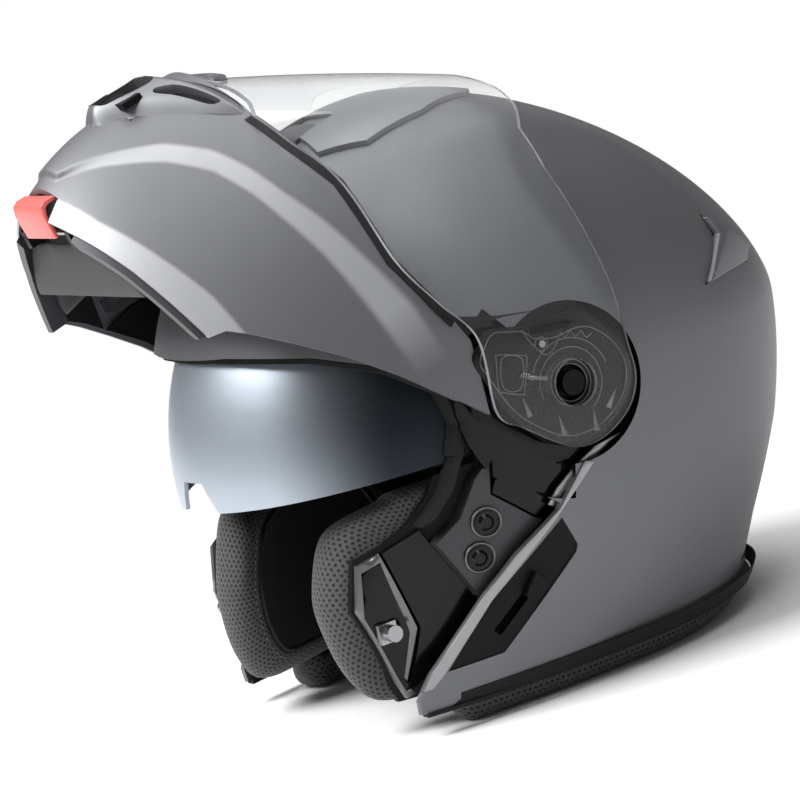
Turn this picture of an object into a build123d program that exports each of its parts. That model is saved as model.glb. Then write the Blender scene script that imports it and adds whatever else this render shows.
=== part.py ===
from build123d import *
from math import cos, hypot, pi, radians, sin, sqrt
import os
from time import time

os.makedirs("parts", exist_ok=True)

# Shell, millimetres. Everything is drawn about the chin bar's pivot axis,
# with +X to the wearer's left, +Y to the rear, and moved to its place on export.
pivot_height = 135.5
half_width = 122.5
crown_height = 132.5
brow_reach = 131.5
rear_reach = 155.7
plan_centre = 8.0
rim_depth = 123.5
rim_half_width = 104.0
rim_front_reach = 191.0
rim_rear_reach = 105.4
shell_wall = 3.6
seat_gap = 0.3
overrun = 60.0
bbox_mid = -9.0

# Shape numbers without a unit
plan_power = 2.14
rear_profile_power = 1.57
rear_tuck_power = 1.55
ring_points = 16
dome_shares = (-1.04, -0.84, -0.62, -0.4, -0.18, 0.0, 0.2, 0.4, 0.58, 0.73, 0.85, 0.93, 0.975, 0.997)
open_angle = 75.4

# Chin bar
chin_half_width = 123.0
chin_low_half_width = 118.5
chin_reach = 186.5
chin_top = -20.0
chin_bulge_height = -80.0
chin_low = -140.0
chin_low_setback = 16.0
chin_top_setback = 4.5
chin_low_setback_power = 2.3
chin_low_power = 1.57
chin_top_power = 2.02
chin_wall = 3.6
chin_heights = (-148.0, -138.0, -128.0, -114.0, -98.0, -80.0, -62.0, -44.0, -28.0, -8.0, 14.0, 40.0)

# Face shield
shield_half_width = 127.0
shield_tall = 150.0
shield_reach = 159.5
shield_lean_share = 0.545
shield_bow_radius = 830.0
shield_wall = 2.2
shield_side_power = 2.5
shield_plan_power = 2.4
shield_heights = (-62.0, -44.0, -24.0, 0.0, 22.0, 42.0, 58.0, 72.0)

# Pivot joint
pocket_radius = 39.5
pocket_front_radius = 51.0
pocket_floor = 112.0
pocket_floor_wall = 3.5
pocket_block_radius = 52.5
sector_start = 124.0
sector_arc = 123.0
arm_inner = 116.0
arm_outer = 119.0
base_outer = 123.2
bolt_radius = 4.0
bolt_head_radius = 5.6
bolt_head_seat = 121.3
bolt_head_top = 124.4
hub_radius = 10.0
hub_cup_radius = 6.2
hub_top = 125.6
running_gap = 0.08
shield_bore_gap = 0.3

# Sun visor
sun_hinge = (-12.0, -18.0)
sun_radius = 122.0
sun_half_width = 102.0
sun_wall = 2.0
sun_pin_radius = 3.0
sun_pin_inner = 96.0
sun_chamber_gap = 1.4
sun_sweep = 38.0

# Liner
liner_outer = 4.6
liner_inner = 33.0
crown_pad_inner = 41.0
cheek_inner = 48.0
liner_floor = -115.7


def wave(value, power):
    sign = 1 if value >= 0 else -1
    return sign * abs(value) ** (2 / power)


def ring(height, across, front, rear, centre, power):
    """Closed plan section of the helmet at one height."""
    points = []
    for step in range(ring_points):
        angle = 2 * pi * step / ring_points
        reach = rear if sin(angle) > 0 else front
        points.append((across * wave(cos(angle), power), centre + reach * wave(sin(angle), power)))
    return Pos(0, 0, height) * make_face(Spline(*points, periodic=True))


def dome_ring(inset, share):
    """Section of the dome, drawn in by inset; share is 0 at the pivot, 1 at the crown, -1 at the rim."""
    if share >= 0:
        tall = crown_height - inset
        narrow = sqrt(1 - share ** 2)
        centre = plan_centre * narrow
        across = (half_width - inset) * narrow
        front = centre + (brow_reach - inset) * narrow
        rear = (rear_reach - inset) * (1 - share ** rear_profile_power) ** (1 / rear_profile_power)
        return ring(tall * share, across, front, rear, centre, plan_power)
    drop = -share
    across = half_width - (half_width - rim_half_width) * drop ** 2 - inset
    brow = brow_reach + plan_centre
    front = brow + (rim_front_reach - brow) * drop - inset
    rear = rear_reach - (rear_reach - rim_rear_reach) * drop ** rear_tuck_power - inset
    return ring(rim_depth * share, across, front, rear, plan_centre, plan_power)


dome_cache = {}


def dome(inset):
    """Solid dome, drawn in from the shell's outside by inset, open below the rim."""
    if inset not in dome_cache:
        dome_cache[inset] = loft([dome_ring(inset, share) for share in dome_shares])
    return dome_cache[inset]


def chin_ring(inset, height):
    rise = (height - chin_low) / (chin_top - chin_low)
    across = chin_low_half_width + (chin_half_width - chin_low_half_width) * rise - inset
    if height < chin_bulge_height:
        fall = (chin_bulge_height - height) / (chin_bulge_height - chin_low)
        front = chin_reach - chin_low_setback * fall ** chin_low_setback_power - inset
    else:
        fall = (height - chin_bulge_height) / (chin_top - chin_bulge_height)
        front = chin_reach - chin_top_setback * fall ** 2 - inset
    power = chin_low_power + (chin_top_power - chin_low_power) * max(rise, 0) ** 2
    return ring(height, across, front, chin_reach, 0, power)


def chin(inset):
    """Solid of the closed chin bar's outside, drawn in by inset."""
    return loft([chin_ring(inset, height) for height in chin_heights])


def shield_ring(inset, height):
    power = shield_side_power
    narrow = (1 - abs(height / shield_tall) ** power) ** (1 / power)
    front = shield_reach - shield_lean_share * height - height ** 2 / (2 * shield_bow_radius)
    return ring(height, shield_half_width * narrow - inset, front - inset, shield_reach, 0, shield_plan_power)


def shield_body(inset):
    return loft([shield_ring(inset, height) for height in shield_heights])


def side_prism(points, start, stop):
    """Side-view outline of Y and Z points, carried across from X start to X stop."""
    outline = make_face(Polyline(*points, close=True))
    return Pos(start, 0, 0) * extrude(Plane.YZ * outline, stop - start)


def front_prism(points, start, stop):
    """Front-view outline of X and Z points, carried from Y start to Y stop."""
    outline = make_face(Polyline(*points, close=True))
    return Pos(0, start, 0) * extrude(Plane.XZ * outline, start - stop)


def plan_prism(points, start, stop):
    outline = make_face(Polyline(*points, close=True))
    return Pos(0, 0, start) * extrude(Plane.XY * outline, stop - start)


def rod(radius, start, stop, y=0.0, z=0.0):
    """Round bar along X."""
    return Pos((start + stop) / 2, y, z) * Rot(0, 90, 0) * Cylinder(radius, stop - start)


def right_of(part):
    return mirror(part, about=Plane.YZ)


def opened(part):
    """Turns a piece of the closed chin bar up to the resting pose."""
    return Rot(-open_angle, 0, 0) * part


clock = time()


def save(name, part):
    placed = Pos(0, -bbox_mid, pivot_height) * part
    export_step(placed, "parts/" + name + ".step")
    box = placed.bounding_box()
    print(round(time() - clock, 1), name, len(placed.solids()), [round(v, 1) for v in (*box.min, *box.max)])


def side_points(shares):
    """Side-view points from shares of the brow reach and the rim depth."""
    return [(y * brow_reach, z * rim_depth) for y, z in shares]


def pivot_points(shares):
    """Side-view points from shares of the pocket's radius."""
    return [(y * pocket_radius, z * pocket_radius) for y, z in shares]


def plan_points(shares):
    """Plan points from shares of the shell's half width and brow reach."""
    return [(x * half_width, y * brow_reach) for x, y in shares]


def grown(points, amount):
    """Side-view outline moved outwards by amount."""
    return offset(make_face(Polyline(*points, close=True)), amount=amount, kind=Kind.INTERSECTION)


def side_block(points, amount, start, stop):
    return Pos(start, 0, 0) * extrude(Plane.YZ * grown(points, amount), stop - start)


def near(points, amount=0.0):
    """Outline carried through the left half of the helmet."""
    return side_block(points, amount, 0, overrun * 3)


def between(outer, inner, block):
    """The part of a block between two depths under the shell's surface."""
    return (block & dome(outer)) - dome(inner)


def surface_x(y, z, inset):
    """Half width of the dome, drawn in by inset, at one side-view point."""
    drop = -z / rim_depth
    across = half_width - (half_width - rim_half_width) * drop ** 2 - inset
    brow = brow_reach + plan_centre
    front = brow + (rim_front_reach - brow) * drop - inset
    rear = rear_reach - (rear_reach - rim_rear_reach) * drop ** rear_tuck_power - inset
    reach = rear if y > plan_centre else front
    return across * (1 - abs((y - plan_centre) / reach) ** plan_power) ** (1 / plan_power)


def orbit(radius, across, start, stop):
    """Solid slice of the sun visor's body of revolution about its own hinge."""
    radial = Vector(0, cos(radians(start)), sin(radians(start)))
    plane = Plane(origin=(0, *sun_hinge), x_dir=(1, 0, 0), z_dir=Vector(1, 0, 0).cross(radial))
    top = EllipticalCenterArc((0, 0), across, radius, arc_size=180)
    face = plane * make_face([top, Line((across, 0), (-across, 0))])
    return revolve(face, Axis((0, *sun_hinge), (1, 0, 0)), stop - start)


# Outlines seen from the side, as shares of the brow reach and the rim depth
face_cut_shares = (
    (-1.977, 0.372), (-0.897, 0.372), (-0.722, 0.324), (-0.532, 0.227), (-0.395, 0.097),
    (-0.35, 0.032), (-0.312, -0.162), (-0.243, -0.308), (-0.141, -0.401), (-0.152, -0.425),
    (-0.319, -0.53), (-0.464, -0.648), (-0.578, -0.765), (-0.677, -0.866), (-0.73, -0.947),
    (-0.73, -1.215), (-1.977, -1.215),
)
opening_shares = (
    (-1.977, 0.348), (-0.897, 0.348), (-0.722, 0.3), (-0.532, 0.202), (-0.411, 0.089),
    (-0.395, -0.024), (-0.433, -0.13), (-0.502, -0.259), (-0.593, -0.348), (-0.7, -0.397),
    (-0.783, -0.437), (-0.821, -0.599), (-0.768, -0.883), (-0.738, -1.012), (-0.738, -1.215),
    (-1.977, -1.215),
)
carrier_shares = (
    (-0.342, -0.186), (-0.471, -0.194), (-0.51, -0.259), (-0.601, -0.348), (-0.692, -0.397),
    (-0.768, -0.421), (-0.814, -0.599), (-0.753, -0.883), (-0.73, -0.964), (-0.669, -0.964),
    (-0.548, -0.777), (-0.433, -0.664), (-0.289, -0.551), (-0.106, -0.437), (-0.061, -0.34),
    (-0.19, -0.34), (-0.259, -0.243),
)
corner_shares = (
    (-0.236, -0.097), (-0.266, -0.146), (-0.335, -0.3), (-0.205, -0.429), (0.015, -0.275),
    (-0.091, -0.275), (-0.152, -0.227),
)
stud_plate_shares = (
    (-0.319, -0.178), (-0.38, -0.235), (-0.456, -0.356), (-0.548, -0.421), (-0.449, -0.648),
    (-0.183, -0.449), (-0.213, -0.433), (-0.342, -0.304),
)
cheek_cover_shares = (
    (-0.57, -0.364), (-0.54, -0.445), (-0.441, -0.668), (-0.684, -0.923), (-0.707, -0.907),
    (-0.639, -0.704), (-0.692, -0.413), (-0.677, -0.405),
)
cheek_trim_shares = (
    (-0.7, -0.413), (-0.768, -0.437), (-0.806, -0.599), (-0.745, -0.883), (-0.722, -0.947),
    (-0.692, -0.939), (-0.719, -0.899), (-0.646, -0.704),
)
side_band_shares = (
    (-0.403, 0.081), (-0.373, 0.008), (-0.384, -0.049), (-0.426, -0.146), (-0.49, -0.259),
    (-0.578, -0.348), (-0.532, -0.332), (-0.456, -0.251), (-0.395, -0.138), (-0.35, -0.04),
    (-0.35, 0.04),
)
brow_band_shares = (
    (-1.141, 0.372), (-0.897, 0.372), (-0.722, 0.324), (-0.532, 0.227), (-0.403, 0.105),
    (-0.373, 0.008), (-0.346, 0.032), (-0.388, 0.13), (-0.525, 0.263), (-0.715, 0.364),
    (-0.89, 0.413), (-1.141, 0.413),
)
rail_shares = (
    (-0.023, -0.283), (-0.148, -0.421), (-0.323, -0.526), (-0.464, -0.641), (-0.578, -0.757),
    (-0.677, -0.858), (-0.715, -0.915), (-0.684, -0.915), (-0.639, -0.874), (-0.441, -0.664),
    (-0.183, -0.462), (0.008, -0.3),
)
panel_shares = (
    (-0.144, -0.453), (-0.106, -0.567), (-0.114, -0.591), (-0.426, -0.866), (-0.624, -0.87),
    (-0.456, -0.676),
)
cheek_pad_shares = (
    (-0.548, -0.227), (-0.601, -0.251), (-0.715, -0.291), (-0.776, -0.348), (-0.829, -0.478),
    (-0.859, -0.607), (-0.852, -0.777), (-0.814, -0.899), (-0.753, -0.964), (-0.608, -0.964),
    (-0.601, -0.931), (0.03, -0.931), (0.015, -0.486), (-0.122, -0.227),
)
ear_cut_shares = (
    (-0.167, -0.211), (0.228, -0.211), (0.259, -0.486), (0.183, -0.729), (-0.061, -0.777),
    (-0.183, -0.567),
)
cheek_zone_shares = (
    (-0.989, -0.17), (-0.152, -0.17), (0.061, -0.275), (0.152, -0.405), (0.152, -1.215),
    (-0.989, -1.215),
)

# Chin bar, closed, seen from the side
chin_shares = (
    (-1.977, -0.332), (-1.247, -0.344), (-1.118, -0.324), (-0.951, -0.283), (-0.662, -0.316),
    (-0.464, -0.275), (-0.312, -0.235), (-0.251, -0.291), (-0.16, -0.397), (-0.179, -0.418),
    (-0.336, -0.531), (-0.481, -0.653), (-0.595, -0.766), (-0.694, -0.871), (-0.745, -0.936),
    (-0.753, -0.996), (-0.897, -1.017), (-1.027, -1.038), (-1.118, -1.061), (-1.24, -1.096),
    (-1.3, -1.117), (-1.977, -1.134),
)
chin_carrier_shares = (
    (-0.913, -0.356), (-0.677, -0.372), (-0.487, -0.34), (-0.38, -0.332), (-0.376, -0.547),
    (-0.502, -0.648), (-0.608, -0.761), (-0.707, -0.866), (-0.76, -0.939), (-0.821, -0.947),
    (-0.852, -0.729),
)
chin_pad_shares = (
    (-1.977, -0.453), (-1.141, -0.437), (-0.928, -0.405), (-0.882, -0.68), (-0.928, -0.947),
    (-1.977, -0.988),
)
chin_trim_shares = (
    (-0.757, -0.939), (-0.897, -0.96), (-1.027, -0.981), (-1.118, -1.004), (-1.24, -1.036),
    (-1.331, -1.061), (-1.331, -1.146), (-1.3, -1.142), (-1.24, -1.121), (-1.118, -1.085),
    (-1.027, -1.062), (-0.897, -1.041), (-0.76, -1.02),
)
vent_frame_shares = (
    (-1.977, -0.721), (-1.399, -0.713), (-1.399, -0.632), (-1.358, -0.551), (-1.306, -0.486),
    (-1.262, -0.429), (-1.243, -0.372), (-1.331, -0.356), (-1.977, -0.356),
)
slider_place_shares = (
    (-0.289, -0.66), (-0.426, -0.777),
)
top_vent_shares = (
    (0.114, -0.335), (0.294, -0.365), (0.408, -0.228), (0.384, 0.015), (0.278, 0.259),
    (0.098, 0.35),
)
fin_shares = (
    (0.639, 0.13), (0.73, 0.105), (0.966, 0.113), (0.92, 0.308), (0.821, 0.364), (0.684, 0.243),
)
stud_place_shares = (
    (-0.38, -0.393), (-0.426, -0.51),
)
latch_pin_shares = (
    (-0.738, -0.692),
)
hook_room_shares = (
    (-0.798, -0.611), (-0.654, -0.611), (-0.631, -0.794), (-0.798, -0.802),
)
hook_hinge_shares = (
    (-0.692, -0.575),
)
hook_shares = (
    (-0.715, -0.551), (-0.669, -0.551), (-0.671, -0.729), (-0.692, -0.765), (-0.738, -0.769),
    (-0.738, -0.742), (-0.719, -0.737), (-0.702, -0.717), (-0.701, -0.632), (-0.715, -0.599),
)
gasket_shares = (
    (-1.24, -0.348), (-1.118, -0.328), (-0.951, -0.287), (-0.662, -0.32), (-0.464, -0.279),
    (-0.403, -0.262), (-0.388, -0.293), (-0.456, -0.312), (-0.662, -0.352), (-0.951, -0.32),
    (-1.118, -0.36), (-1.24, -0.381),
)
arm_shares = (
    (-0.861, -0.911), (-0.532, -1.241), (-0.608, -1.316), (-1.165, -1.671), (-1.57, -1.924),
    (-1.671, -1.063), (-1.418, -0.886), (-1.038, -0.747), (-0.785, -0.152), (-0.506, 0.43),
    (-0.127, 0.709), (0.278, 0.772), (0.506, 0.709), (0.684, 0.354), (0.759, 0.076),
    (0.658, -0.304), (0.43, -0.557), (-0.203, -0.911),
)
base_shares = (
    (-0.557, -0.899), (-0.823, -0.873), (-1.025, -0.633), (-0.835, -0.177), (-0.506, 0.43),
    (-0.127, 0.709), (0.278, 0.772), (0.506, 0.709), (0.684, 0.354), (0.759, 0.076),
    (0.658, -0.304), (0.43, -0.557), (-0.228, -0.922),
)
window_shares = (
    (-0.785, -0.684), (-0.582, -0.38), (-0.304, -0.608), (-0.456, -0.886),
)

# Face shield, closed, seen from the side
shield_shares = (
    (-1.977, 0.543), (-0.852, 0.543), (-0.798, 0.502), (-0.753, 0.413), (-0.624, 0.364),
    (-0.487, 0.348), (-0.35, 0.332), (-0.19, 0.308), (-0.015, 0.259), (0.106, 0.223),
    (0.183, 0.138), (0.213, 0.008), (0.19, -0.105), (0.114, -0.186), (0.03, -0.251),
    (-0.068, -0.316), (-0.312, -0.243), (-0.479, -0.296), (-0.677, -0.344), (-0.973, -0.324),
    (-1.141, -0.364), (-1.251, -0.381), (-1.281, -0.34), (-1.323, -0.32), (-1.977, -0.32),
)


# Outer shell
face_block = side_block(side_points(face_cut_shares), 0, -overrun * 3, overrun * 3)
rim_block = Pos(0, 0, -rim_depth - overrun) * Box(overrun * 6, overrun * 8, overrun * 2)
sector = [(0, 0)]
for step in range(12):
    angle = radians(sector_start + sector_arc * step / 11)
    sector.append((pocket_front_radius * cos(angle), pocket_front_radius * sin(angle)))
pocket = rod(pocket_radius, pocket_floor, half_width + overrun)
pocket += side_block(sector, 0, pocket_floor, half_width + overrun)
floor_cuts = [
    side_block(side_points(face_cut_shares), 0, pocket_floor, half_width + overrun),
    side_block(side_points(opening_shares), shell_wall, 0, half_width + overrun),
    side_block(side_points(corner_shares), seat_gap, 0, half_width + overrun),
    side_block(side_points(side_band_shares), seat_gap, 0, half_width + overrun),
    side_block(side_points(brow_band_shares), seat_gap, 0, half_width + overrun),
    side_block(side_points(stud_plate_shares), seat_gap, 0, half_width + overrun),
]
floor_block = (rod(pocket_block_radius, pocket_floor - pocket_floor_wall, half_width) & dome(shell_wall / 2)) - floor_cuts
bolt_hole = rod(bolt_radius, pocket_floor - overrun, half_width + overrun)
pin_hole = rod(sun_pin_radius, sun_pin_inner, half_width, *sun_hinge)
panel_hole = near(side_points(panel_shares), seat_gap)
left_cuts = [pocket, bolt_hole, pin_hole, panel_hole]
full_wall = dome(0) - [dome(shell_wall), rim_block]
outer_shell = full_wall - face_block
outer_shell += [floor_block, right_of(floor_block)]
outer_shell -= left_cuts + [right_of(cut) for cut in left_cuts]

# Chamber that the sun visor swings in
sun_top_angle = 141.0
sun_low_angle = 182.0
sun_hub_radius = 9.0
hub_room = rod(sun_hub_radius + sun_chamber_gap, sun_pin_inner, pocket_floor, *sun_hinge)
lens_room_outer = sun_radius + sun_chamber_gap
lens_room_inner = sun_radius - sun_wall - sun_chamber_gap
wide_room = sun_half_width + sun_chamber_gap
narrow_room = sun_half_width - sun_wall - sun_chamber_gap
room_start = sun_top_angle - sun_sweep - 3
room_stop = sun_low_angle + 3
sun_room = orbit(lens_room_outer, wide_room, room_start, room_stop)
sun_room -= orbit(lens_room_inner, narrow_room, room_start, room_stop)
sun_room += hub_room + right_of(hub_room)

# Sun visor, lowered
nose_half_width = 25.0
nose_top_half_width = 9.0
nose_rise = 14.0
sun_visor = orbit(sun_radius, sun_half_width, sun_top_angle, sun_low_angle)
sun_visor -= orbit(sun_radius - sun_wall, sun_half_width - sun_wall, sun_top_angle, sun_low_angle)
lens_low = sun_hinge[1] + sun_radius * sin(radians(sun_low_angle))
nose_side = (nose_half_width, lens_low - nose_rise)
nose_top = (nose_top_half_width, lens_low + nose_rise)
nose = [nose_side, nose_top, (-nose_top[0], nose_top[1]), (-nose_side[0], nose_side[1])]
sun_visor -= front_prism(nose, -sun_radius - overrun, -sun_radius + overrun / 2)
hub = rod(sun_hub_radius, sun_half_width - sun_wall * 1.5, sun_half_width + seat_gap * 2, *sun_hinge)
sun_visor += hub + right_of(hub)
pin_bore = rod(sun_pin_radius + running_gap, 0, half_width, *sun_hinge)
sun_visor -= pin_bore
sun_visor -= right_of(pin_bore)
save("sun_visor", sun_visor)

pin_head_radius = 5.4
pin_head = 2.0
pin_head_start = sun_half_width - sun_wall * 1.5 - running_gap - pin_head
sun_pin = rod(sun_pin_radius, pin_head_start, pocket_floor, *sun_hinge)
sun_pin += rod(pin_head_radius, pin_head_start, pin_head_start + pin_head, *sun_hinge)
save("sun_visor_pins", Compound([sun_pin, right_of(sun_pin)]))

# Energy-absorbing liner
slot_gap = 0.6
seal_outer = 4.2
seal_inner = 10.5
band_outer = 7.0
band_inner = 15.5
panel_outer = 7.0
panel_skin = 2.8
front_outer = 19.4
opening_block = side_block(side_points(opening_shares), seat_gap, -overrun * 3, overrun * 3)
cheek_zone = side_block(side_points(cheek_zone_shares), 0, -overrun * 3, overrun * 3)
pivot_room = rod(pocket_block_radius + seat_gap, pocket_floor - pocket_floor_wall - seat_gap, half_width)
panel_back = 15.0
panel_room = near(side_points(panel_shares), panel_back / 2) - dome(panel_back)
floor_plane = Pos(0, 0, liner_floor - overrun) * Box(overrun * 6, overrun * 8, overrun * 2)
front_skin = side_block(side_points(carrier_shares), panel_back / 2, -overrun * 3, overrun * 3) - dome(front_outer)
eps_cuts = [dome(liner_inner), opening_block, floor_plane, cheek_zone, sun_room, front_skin]
seal_room = side_block(side_points(brow_band_shares), seat_gap, -overrun * 3, overrun * 3) - dome(seal_inner + seat_gap)
band_room = side_block(side_points(side_band_shares), seat_gap, -overrun * 3, overrun * 3) - dome(band_inner + seat_gap)
corner_room = near(side_points(corner_shares), seat_gap * 2) - dome(panel_outer + panel_skin + seat_gap * 2)
eps_cuts += [seal_room, band_room, corner_room, right_of(corner_room)]
eps_cuts += [pivot_room, right_of(pivot_room), panel_room, right_of(panel_room)]
eps_liner = dome(liner_outer) - eps_cuts
eps_liner = max(eps_liner.solids(), key=lambda solid: solid.volume)
save("eps_liner", eps_liner)

# Crown pad inside the liner
comfort_low = -18.0
pad_gap = 0.85
comfort_liner = dome(liner_inner + pad_gap) - dome(crown_pad_inner)
comfort_liner -= opening_block
comfort_liner -= Pos(0, 0, comfort_low - overrun * 2) * Box(overrun * 6, overrun * 8, overrun * 4)
save("comfort_liner", comfort_liner)

# Cheek pads
cheek_pad_start = 45.0
cheek_block = side_block(side_points(cheek_pad_shares), 0, cheek_pad_start, overrun * 3)
cheek_pad = between(front_outer, cheek_inner, cheek_block)
ear_room = side_block(side_points(ear_cut_shares), 0, 0, overrun * 3) & dome(liner_inner)
cheek_pad -= ear_room
cheek_pad -= sun_room

# Neck roll, cut flat underneath where the helmet rests
neck_outer = 6.4
neck_front = 77.0
neck_low = -135.5
neck_inner_reach = 30.0


def rim_section(inset, height):
    return ring(height, rim_half_width - inset, rim_front_reach - inset, rim_rear_reach - inset, plan_centre, plan_power)


def rim_band(outer, inner, low, high):
    """Upright band that follows the shell's rim in plan."""
    band = extrude(rim_section(outer, low), high - low) - extrude(rim_section(inner, low), high - low)
    return band


neck_top = liner_floor - seat_gap
neck_roll = rim_band(neck_outer, neck_inner_reach, neck_low, neck_top)
front_box = Pos(0, -neck_front - overrun * 2, neck_low) * Box(overrun * 6, overrun * 4, overrun * 2)
neck_roll -= front_box
save("neck_roll", neck_roll)

# Rubber bead on the shell's rim
bead_outer = 1.2
bead_gap = 0.5
bead_height = 5.0
bead_foot = 1.6
bead = rim_band(-bead_outer, shell_wall + bead_outer, -rim_depth - bead_foot, -rim_depth)
lip_slab = Pos(0, 0, bead_height / 2 - rim_depth) * Box(overrun * 6, overrun * 8, bead_height)
outer_lip = (dome(-bead_outer) & lip_slab) - dome(-bead_gap)
inner_lip = (dome(shell_wall + bead_gap) & lip_slab) - dome(shell_wall + bead_outer)
bead += [outer_lip, inner_lip]
bead_front = plan_centre - neck_front - bead_height * 5
bead -= Pos(0, bead_front - overrun * 2, -rim_depth) * Box(overrun * 6, overrun * 4, overrun)
save("rim_beading", bead)

# Eyeport seal: a strip under the brow edge and a band down each side
brow_block = side_block(side_points(brow_band_shares), 0, -overrun * 3, overrun * 3)
band_block = side_block(side_points(side_band_shares), 0, -overrun * 3, overrun * 3)
eyeport_seal = between(seal_outer, seal_inner, brow_block) + between(band_outer, band_inner, band_block)
eyeport_seal -= sun_room
save("eyeport_seal", eyeport_seal)

# Trim behind the seam, left side; the right side is its mirror
frame_outer = 16.0
frame_inner = 18.6
panel_rim = 2.6
cover_outer = 12.8
cover_skin = 2.4
trim_outer = 13.2


def hollow_panel(points, outer, skin_depth, inner):
    """Trim moulding: a skin that follows the dome, with walls down to its seat."""
    solid = between(outer, inner, near(points))
    inside = near(points, -panel_rim) & dome(outer + skin_depth)
    return solid - inside


frame = between(frame_outer, frame_inner, near(side_points(carrier_shares))) - sun_room
corner_panel = between(panel_outer, panel_outer + panel_skin, near(side_points(corner_shares)))
stud_plate = hollow_panel(side_points(stud_plate_shares), panel_outer, panel_skin, frame_outer - seat_gap) - sun_room
cheek_cover = hollow_panel(side_points(cheek_cover_shares), cover_outer, cover_skin, frame_outer - seat_gap)
cheek_trim = between(trim_outer, frame_outer - seat_gap * 2, near(side_points(cheek_trim_shares)))


def seat(y, z, inset):
    """Plane that lies on the dome, drawn in by inset, and faces outwards."""
    lean = shell_wall
    x = surface_x(y, z, inset)
    across_y = (surface_x(y + lean, z, inset) - surface_x(y - lean, z, inset)) / (lean * 2)
    across_z = (surface_x(y, z + lean, inset) - surface_x(y, z - lean, inset)) / (lean * 2)
    return Plane(origin=(x, y, z), x_dir=(0, 1, 0), z_dir=(1, -across_y, -across_z))


# Domed studs in their rings, two on each stud plate
stud_radius = 6.9
stud_sink = 1.8
stud_stand = 1.1
stud_dome_radius = 4.9
stud_groove = 0.9
stud_crown = 1.1
studs = []
for y, z in side_points(stud_place_shares):
    plane = seat(y, z, panel_outer)
    stud_plate -= plane * Pos(0, 0, stud_sink) * Cylinder(stud_radius, stud_sink * 4)
    stud = Pos(0, 0, (stud_stand - stud_sink) / 2) * Cylinder(stud_radius, stud_sink + stud_stand)
    groove = Cylinder(stud_dome_radius + stud_groove, stud_stand) - Cylinder(stud_dome_radius, stud_stand)
    stud -= Pos(0, 0, stud_stand) * groove
    head = Pos(0, 0, stud_stand) * Cone(stud_dome_radius, stud_dome_radius / 2, stud_crown * 2)
    stud += head
    studs += [plane * stud, right_of(plane * stud)]
save("stud_screws", Compound(studs))

# Steel pins that the latch hooks hold
latch_pin_radius = 3.7
latch_pin_end = 87.0
latch_base = 9.0
latch_base_stand = 1.4
pin_y, pin_z = side_points(latch_pin_shares)[0]
pin_seat = surface_x(pin_y, pin_z, frame_outer)
pin_foot_top = surface_x(pin_y, pin_z, trim_outer) + latch_base_stand
pin_foot = Pos((pin_seat + pin_foot_top) / 2, pin_y, pin_z) * Box(pin_foot_top - pin_seat, latch_base, latch_base)
latch_pin = (pin_foot + rod(latch_pin_radius, pin_seat, latch_pin_end, pin_y, pin_z)) - dome(frame_outer - seat_gap)
cheek_trim -= Pos(half_width, pin_y, pin_z) * Box(half_width, latch_base, latch_base)
cheek_cover -= side_block(side_points(cheek_trim_shares), seat_gap, 0, half_width)
save("latch_pins", Compound([latch_pin, right_of(latch_pin)]))

for name, piece in (("side_frame", frame), ("corner_panel", corner_panel), ("stud_plate", stud_plate)):
    save(name + "_left", piece)
    save(name + "_right", right_of(piece))
for name, piece in (("cheek_cover", cheek_cover), ("cheek_trim", cheek_trim)):
    save(name + "_left", piece)
    save(name + "_right", right_of(piece))

# Side panels let into the shell; the left one carries the sun visor's slider
panel_flush = 0.4
panel_depth = 5.2
panel_lip = 3.0
slider_travel = 22.0
stem_long = 7.0
stem_wide = 3.0
knob_lift = 0.8
knob_height = 3.2
knob_long = 11.0
knob_wide = 9.0
foot_long = 14.0
foot_wide = 8.0
foot_height = 1.6
foot_drop = 5.9
panel = between(panel_flush, panel_depth, near(side_points(panel_shares)))
panel += between(shell_wall + seat_gap, panel_depth, near(side_points(panel_shares), panel_lip))
save("blank_panel_right", right_of(panel))
(start_y, start_z), (stop_y, stop_z) = side_points(slider_place_shares)
slide_start = Vector(surface_x(start_y, start_z, panel_flush), start_y, start_z)
slide_stop = Vector(surface_x(stop_y, stop_z, panel_flush), stop_y, stop_z)
slide_way = (slide_stop - slide_start).normalized()
mid_seat = seat((start_y + stop_y) / 2, (start_z + stop_z) / 2, panel_flush)
slide_normal = mid_seat.z_dir - slide_way * mid_seat.z_dir.dot(slide_way)
slide_plane = Plane(origin=slide_start, x_dir=slide_way, z_dir=slide_normal)
slot_long = slider_travel + stem_long + slot_gap * 2
slot = Pos(slider_travel / 2, 0, 0) * Box(slot_long, stem_wide + slot_gap * 2, overrun / 2)
panel -= slide_plane * slot
save("slider_panel_left", panel)
knob_base = knob_lift + knob_height
stem = Pos(0, 0, (knob_lift - foot_drop) / 2) * Box(stem_long, stem_wide, knob_lift + foot_drop)
half_knob = knob_long / 2
knob_points = [(-half_knob, -knob_wide / 2), (half_knob, -stem_wide / 2), (half_knob, stem_wide / 2), (-half_knob, knob_wide / 2)]
knob = Pos(0, 0, knob_lift) * extrude(make_face(Polyline(*knob_points, close=True)), knob_height)
foot = Pos(0, 0, -foot_drop - foot_height / 2) * Box(foot_long, foot_wide, foot_height)
save("sun_visor_slider", slide_plane * (stem + knob + foot))
print("slider way", slide_way, "start", slide_start)

# Pivot bolts
bolt_tail = pocket_floor - pocket_floor_wall
bolt = rod(bolt_radius, bolt_tail, bolt_head_seat + running_gap)
bolt += rod(bolt_head_radius, bolt_head_seat + running_gap, bolt_head_top)
save("pivot_bolts", Compound([bolt, right_of(bolt)]))

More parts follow.
